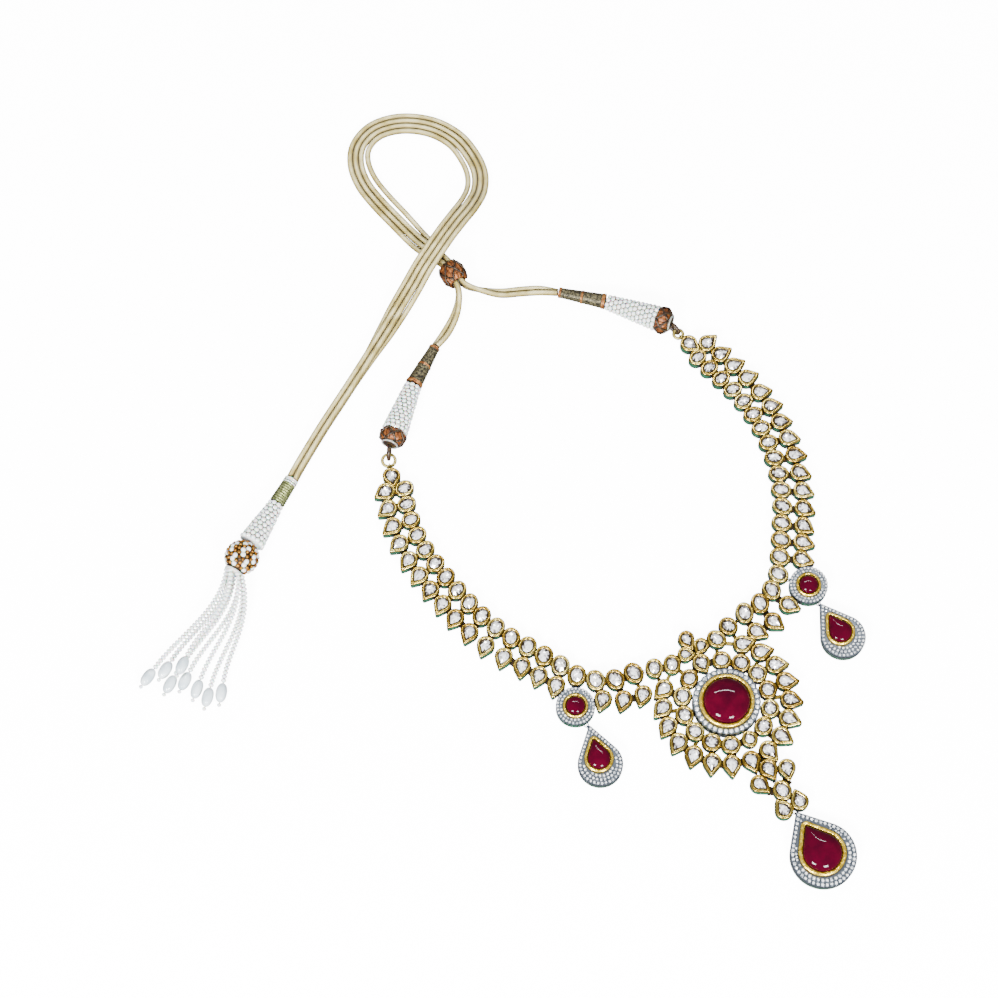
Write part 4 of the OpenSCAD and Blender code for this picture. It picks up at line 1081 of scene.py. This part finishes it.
# Thread caps: a fluted bun of copper thread under a net, with a neck, a pale ring and the wire loop
cap = {"behind": 6.32, "sides": 90, "flutes": 18, "flute": 0.35,
    "netStrands": 6, "netTwist": 60, "netWire": 0.42,
    "bun": [(0.95, 2.2), (1.0, 3.3), (1.5, 4.15), (2.2, 4.75), (3.2, 5.15), (4.3, 5.2), (5.2, 5.05),
        (5.9, 4.7), (6.2, 4.3), (6.2, 3.0)],
    "neck": [(0.0, 0.5), (0.0, 1.9), (0.4, 2.9), (0.9, 3.5), (1.2, 3.6), (1.4, 2.2)],
    "paleAt": (0.5, 3.15), "paleWire": 0.4, "loopSink": 1, "loopWire": 0.82, "loopLift": 0.85}
endRing = {"height": 1.65, "wire": 0.68}


def addThreadCap(name, node, s):
    heap, start = Heap(), np.array(s["sleeve"][0], dtype=float)
    axis = directionOf(s["sleeve"][1] - start)
    front, ring = start - cap["behind"] * axis, np.array(s["ring"])
    addTurned(heap, front, axis, cap["bun"], cap["sides"], 0, cap["flutes"], cap["flute"])
    under = [(x, r - 0.02) for x, r in cap["bun"][1:-2]]
    addNet(heap, front, axis, under, cap["netStrands"], cap["netTwist"], cap["netWire"], 1)
    addTurned(heap, front, axis, cap["neck"], 32, 3)
    pale = cap["paleAt"] + cap["paleWire"] * unitCircle(8)
    addTurned(heap, front, axis, [*pale, pale[0]], 32, 2, caps=(False, False))
    away = front[:2] - ring
    r = (np.linalg.norm(away) + cap["loopSink"]) / 2
    at = np.append(ring + r * directionOf(away), r + cap["loopLift"])
    addWireRing(heap, at, r, cap["loopWire"], angleOf(away), True, 3, (36, 12))
    heap.piece(name, [copperThread, loopCord, paleRing, loopCord], "copper_thread", [node])


def addEndRing(name, node, s):
    heap = Heap()
    at = (s["ring"][0], s["ring"][1], endRing["height"])
    addWireRing(heap, at, s["ringRadius"], endRing["wire"], sides=(48, 12))
    heap.piece(name, [ringGold], "gold", [node])


# Bindings: dark thread wound close, with three copper bands given as start and width along the length
binding = {"turn": 0.62, "inset": 0.14, "bulge": 0.16, "bandBulge": 0.2,
    "bands": [(0, 0.07), (0.47, 0.05), (0.94, 0.06)]}


def addBinding(name, node, span, radii):
    heap = Heap()
    start, away = np.array(span[0], dtype=float), np.subtract(span[1], span[0])
    length, axis = np.linalg.norm(away), directionOf(away)
    inner = [r - binding["inset"] for r in radii]
    profile = windings(length, round(length / binding["turn"]), inner, binding["bulge"])
    addTurned(heap, start, axis, profile, 28, 0)
    for part, wide in binding["bands"]:
        ends = [radii[0] + (radii[1] - radii[0]) * (part + q) for q in (0, wide)]
        band = windings(length * wide, 2, ends, binding["bandBulge"])
        addTurned(heap, start + axis * length * part, axis, band, 28, 1)
    heap.piece(name, [darkThread, bandThread], "dark_wire", [node])


for name, s in bothSides:
    addThreadCap(f"{name}_wrapped_cap", f"{name}_thread_cap", s)
    addEndRing(f"{name}_gold_ring", f"{name}_end_ring", s)
    heap = Heap()
    addBeadRings(heap, *s["sleeve"], s["sleeveRadii"], sleeveLook["bead"], sleeveLook["row"])
    heap.piece(f"{name}_seed_bead_sleeve", [seedBead], "seed_bead", [f"{name}_bead_sleeve"])
    addBinding(f"{name}_wound_binding", f"{name}_binding", s["binding"], s["bindingRadii"])

# Slider: a bun of copper thread, wound through its bore, under a dark net
slider = {"at": (-0.85, 206.5, 5.4), "along": (0, 1, 0), "sides": 108, "flutes": 18, "flute": 0.35,
    "profile": [(0.9, 3.1), (0, 3.5), (0.15, 3.9), (0.9, 4.4), (2.3, 4.8), (4.4, 4.95), (6.5, 4.8),
        (7.9, 4.4), (8.65, 3.9), (8.8, 3.5), (7.9, 3.1)], "netStrands": 6, "netTwist": 70, "netWire": 0.36}


def addSlider():
    heap, at, along, profile = Heap(), slider["at"], slider["along"], slider["profile"]
    addTurned(heap, at, along, profile + profile[:1], slider["sides"], 0, slider["flutes"], slider["flute"],
        (False, False))
    under = [(x, r - 0.02) for x, r in profile[2:-2]]
    addNet(heap, at, along, under, slider["netStrands"], slider["netTwist"], slider["netWire"], 1)
    heap.piece("wrapped_slider", [copperThread, loopCord], "copper_thread", ["slider"])


addSlider()
print("threadwork made")


# Tassel: wire wrap, bead sleeve, bead ball, and fringe strands that each carry a rice pearl
tassel = {"collar": (-101.1, 166.3, 2.95), "wrap": (-103.2, 165, 3.05), "heading": -149,
    "cotton": {"turns": 3, "radii": (2.7, 2.7), "bulge": 0.22},
    "wire": {"turns": 10, "radii": (2.5, 2.85), "bulge": 0.42, "steps": 6},
    "sleeve": ((-111.1, 160.3, 3.6), (-128.3, 149.76, 6)), "sleeveRadii": (3.3, 5.6), "firstRow": 0.36,
    "bead": 2.1, "row": 1.75, "ball": (-134.4, 146, 7.1)}
ball = {"core": 6.0, "rowRadius": 6.1, "edge": 7.05, "rows": 9, "firstRow": 14, "rowStep": 15.5,
    "spacing": 1.75, "white": 1.12, "golden": 0.78, "thick": 0.9, "mouth": (5.6, 3.6)}
# each fringe row: turn on the head, reach, sideways place of the pearl and its height
fringe = {"rows": [(180, 52.9, -8.2, 2.35), (-140, 47.2, -3.8, 2.35), (-100, 51.3, 0.8, 2.35),
    (120, 43.1, 1.9, 5.9), (-60, 47.4, 5.2, 2.35), (60, 47.9, 11, 2.35), (-25, 48.7, 16.3, 2.35),
    (15, 44.6, 20.1, 2.35)], "head": 6.4, "headRing": 3.3, "headAt": 5.82, "from": 6, "bow": 25,
    "lyingEnd": 5, "bead": 1.62, "beadShare": 0.52, "beadRadius": 1.12, "uneven": (-0.05, 0.03),
    "headProfile": [(0, 3.6), (0.3, 3.9), (0.9, 3.9), (1.3, 3.2)], "thread": 0.35}
ricePearl = {"half": 3.9, "radius": 2.3, "roundness": 2.2, "smallest": 0.94, "gap": 0.3, "sides": 22,
    "steps": np.sin(np.radians(np.linspace(-88, 88, 15))),
    "thread": 0.24, "threadFrom": -4.3, "threadTo": 5.4,
    "stopperAt": 0.8, "stopperHalf": 0.72, "stopperRadius": 0.85}
ballAt, forward = np.array(tassel["ball"]), np.append(unit(tassel["heading"]), 0.0)


def addWireWrap():
    heap, collar, wrap = Heap(), np.array(tassel["collar"]), np.array(tassel["wrap"])
    cotton = windings(np.linalg.norm(wrap - collar), **tassel["cotton"])
    addTurned(heap, collar, wrap - collar, cotton, 28, 1)
    middle = (collar + wrap) / 2
    toSleeve = tassel["sleeve"][0] - middle
    addTurned(heap, middle, toSleeve, windings(np.linalg.norm(toSleeve), **tassel["wire"]), 32, 0)
    heap.piece("tassel_wire_wrap", [oliveWire, paleCotton], "dark_wire", ["tassel_binding"])


def addTasselSleeve():
    heap, (start, end) = Heap(), (np.array(p) for p in tassel["sleeve"])
    first = start + tassel["firstRow"] * directionOf(end - start)
    addBeadRings(heap, first, end, tassel["sleeveRadii"], tassel["bead"], tassel["row"])
    heap.piece("tassel_seed_bead_sleeve", [seedBead], "seed_bead", ["tassel_sleeve"])


def addBeadBall():
    # white beads in rows, with small gold beads in the gaps, over a dark core that shows between them as
    # painted shade
    heap, (axis, left, above) = Heap(), basis(forward)
    turns = [math.radians(b) for b in range(0, 145, 12)]
    core = [(-ball["core"] * math.cos(b), max(ball["core"] * math.sin(b), 0.05)) for b in turns]
    # painted shade: the dark core shows through between the beads
    addTurned(heap, ballAt, forward, core + [ball["mouth"]], 28, 2)
    for row in range(ball["rows"]):
        b = math.radians(ball["firstRow"] + ball["rowStep"] * row)
        around = max(3, 3 * round(2 * math.pi * ball["rowRadius"] * math.sin(b) / ball["spacing"] / 3))
        for j in range(around):
            a = 2 * math.pi * (j + 0.5 * (row % 2)) / around
            out = -math.cos(b) * axis + math.sin(b) * (math.cos(a) * left + math.sin(a) * above)
            white = (j + 2 * (row // 2) + (row % 2)) % 3 == 0
            size = ball["white"] if white else ball["golden"]
            half = size * ball["thick"]
            at = ballAt + out * (ball["edge"] - half)
            addBead(heap, at, out + [0, 0, 1e-3], half, size, 0 if white else 1)
    heap.piece("tassel_bead_ball", [seedBead, goldBead, darkSeatAndShade], "seed_bead", ["tassel_ball"])


# where a fringe row's strand is after s millimetres
def fringePoint(row, s):
    turn, reach, aside, z = row
    begin = fringe["headRing"] * math.cos(math.radians(turn))
    part = max(0.0, 1 - s / (reach - fringe["lyingEnd"]))
    swing = begin + (aside - begin) * s / reach + fringe["bow"] * (1 - part) * part * part
    height = z + (fringe["head"] + fringe["headRing"] * math.sin(math.radians(turn)) - z) * part * part
    flat = ballAt[:2] + (fringe["from"] + s) * forward[:2] + swing * np.array([-forward[1], forward[0]])
    return np.array([flat[0], flat[1], height])


def addFringeStrand(heap, row):
    reach = row[1]
    lean = np.linalg.norm(fringePoint(row, reach) - fringePoint(row, reach - 1))
    end = reach - (ricePearl["half"] + ricePearl["gap"]) / lean
    path = np.array([fringePoint(row, s) for s in np.linspace(0.5, end, 80)])
    run = runOf(path)
    count = round(run[-1] / fringe["bead"])
    addTube(heap, path[::4], fringe["thread"], 5, 1)
    for i in range(count):
        s = (i + 0.5) / count * run[-1]
        at, ahead = (np.array([np.interp(q, run, path[:, k]) for k in range(3)]) for q in (s, s + 0.5))
        aim = ahead - at if np.linalg.norm(ahead - at) > 0.01 else forward
        half = run[-1] / count * fringe["beadShare"]
        addBead(heap, at, aim, half, fringe["beadRadius"] + dice.uniform(*fringe["uneven"]))


def addRicePearl(heap, pearls, row):
    # a pearl on its thread, held by a stopper bead
    look, reach = ricePearl, row[1]
    spot, tip = fringePoint(row, reach), fringePoint(row, reach + look["half"] + look["stopperAt"])
    addBead(heap, tip, tip - spot, look["stopperHalf"], look["stopperRadius"])
    thread = [fringePoint(row, reach + s) for s in (look["threadFrom"], 0, look["threadTo"])]
    addTube(heap, thread, look["thread"], 5, 1)
    r, power = look["radius"] * dice.uniform(look["smallest"], 1.0), look["roundness"]
    profile = [(look["half"] * x, r * (1 - abs(x) ** power) ** (1 / power)) for x in look["steps"]]
    addTurned(pearls, spot, tip - spot, profile, look["sides"])


def addFringe():
    heap, pearls = Heap(), Heap()
    head = np.array([ballAt[0], ballAt[1], fringe["head"]]) + fringe["headAt"] * forward
    addTurned(heap, head, forward, fringe["headProfile"], 32, 1)
    for row in fringe["rows"]:
        addFringeStrand(heap, row)
        addRicePearl(heap, pearls, row)
    heap.piece("tassel_bead_strands", [seedBead, paleCotton], "seed_bead", ["tassel_strands"])
    pearls.piece("tassel_rice_pearls", [pearl], "pearl", ["tassel_pearls"])


addWireWrap()
addTasselSleeve()
addBeadBall()
addFringe()
print("tassel made")

# the fringe and its pearls reach too far from the cords' ends to belong to them; this loop only moves each
# cord's route into the row frame
for number, (made, route, length) in enumerate(zip(cordPieces, cordRoutes, cordLengths), 1):
    path = toFrame(route)


# A pale sheet under the necklace and soft light, as in a studio
sheet = {"half": 3, "level": -0.0002, "glow": 12.0}


def addFloor():
    mesh, half, level = bpy.data.meshes.new("floor"), sheet["half"], sheet["level"]
    corners = [(-half, -half, level), (half, -half, level), (half, half, level), (-half, half, level)]
    mesh.from_pydata(corners, [], [(0, 1, 2, 3)])
    # white paper lit from below, so that it stays white and throws no light of its own on the gold
    material, tree, surface = startMaterial("white paper lit from below", "#f4f4f4", 0.9)
    surface.inputs["Emission Color"].default_value = shade("#ffffff")
    surface.inputs["Emission Strength"].default_value = sheet["glow"]
    mesh.materials.append(material)
    floor = addObject("floor", mesh)
    floor.visible_diffuse = floor.visible_glossy = False


# each light stands on a line from the necklace: turn from the camera's side, height, distance in metres
lights = [
    {"name": "front left softbox", "turn": -28, "height": 42, "distance": 1.3,
        "size": (0.3, 0.3), "power": 42},
    {"name": "front right softbox", "turn": 24, "height": 38, "distance": 1.3,
        "size": (0.28, 0.28), "power": 32},
    {"name": "far strip", "turn": 177, "height": 64, "distance": 1.2,
        "size": (0.85, 0.022), "power": 9},
]
middleOfNecklace = Vector((-0.035, 0.065, 0.0))


def addLight(spot):
    data = bpy.data.lights.new(spot["name"], "AREA")
    data.shape, data.size, data.size_y, data.energy = "RECTANGLE", *spot["size"], spot["power"]
    lamp = addObject(spot["name"], data)
    lookAt(lamp, middleOfNecklace, cameraSpot["turn"] + spot["turn"], spot["height"], spot["distance"])


def addWorld():
    world = bpy.data.worlds.new("studio")
    bpy.context.scene.world = world
    world.use_nodes = True
    background = world.node_tree.nodes["Background"]
    background.inputs["Color"].default_value = (0.93, 0.96, 1.0, 1.0)
    background.inputs["Strength"].default_value = 0.4


addFloor()
for spot in lights:
    addLight(spot)
addWorld()
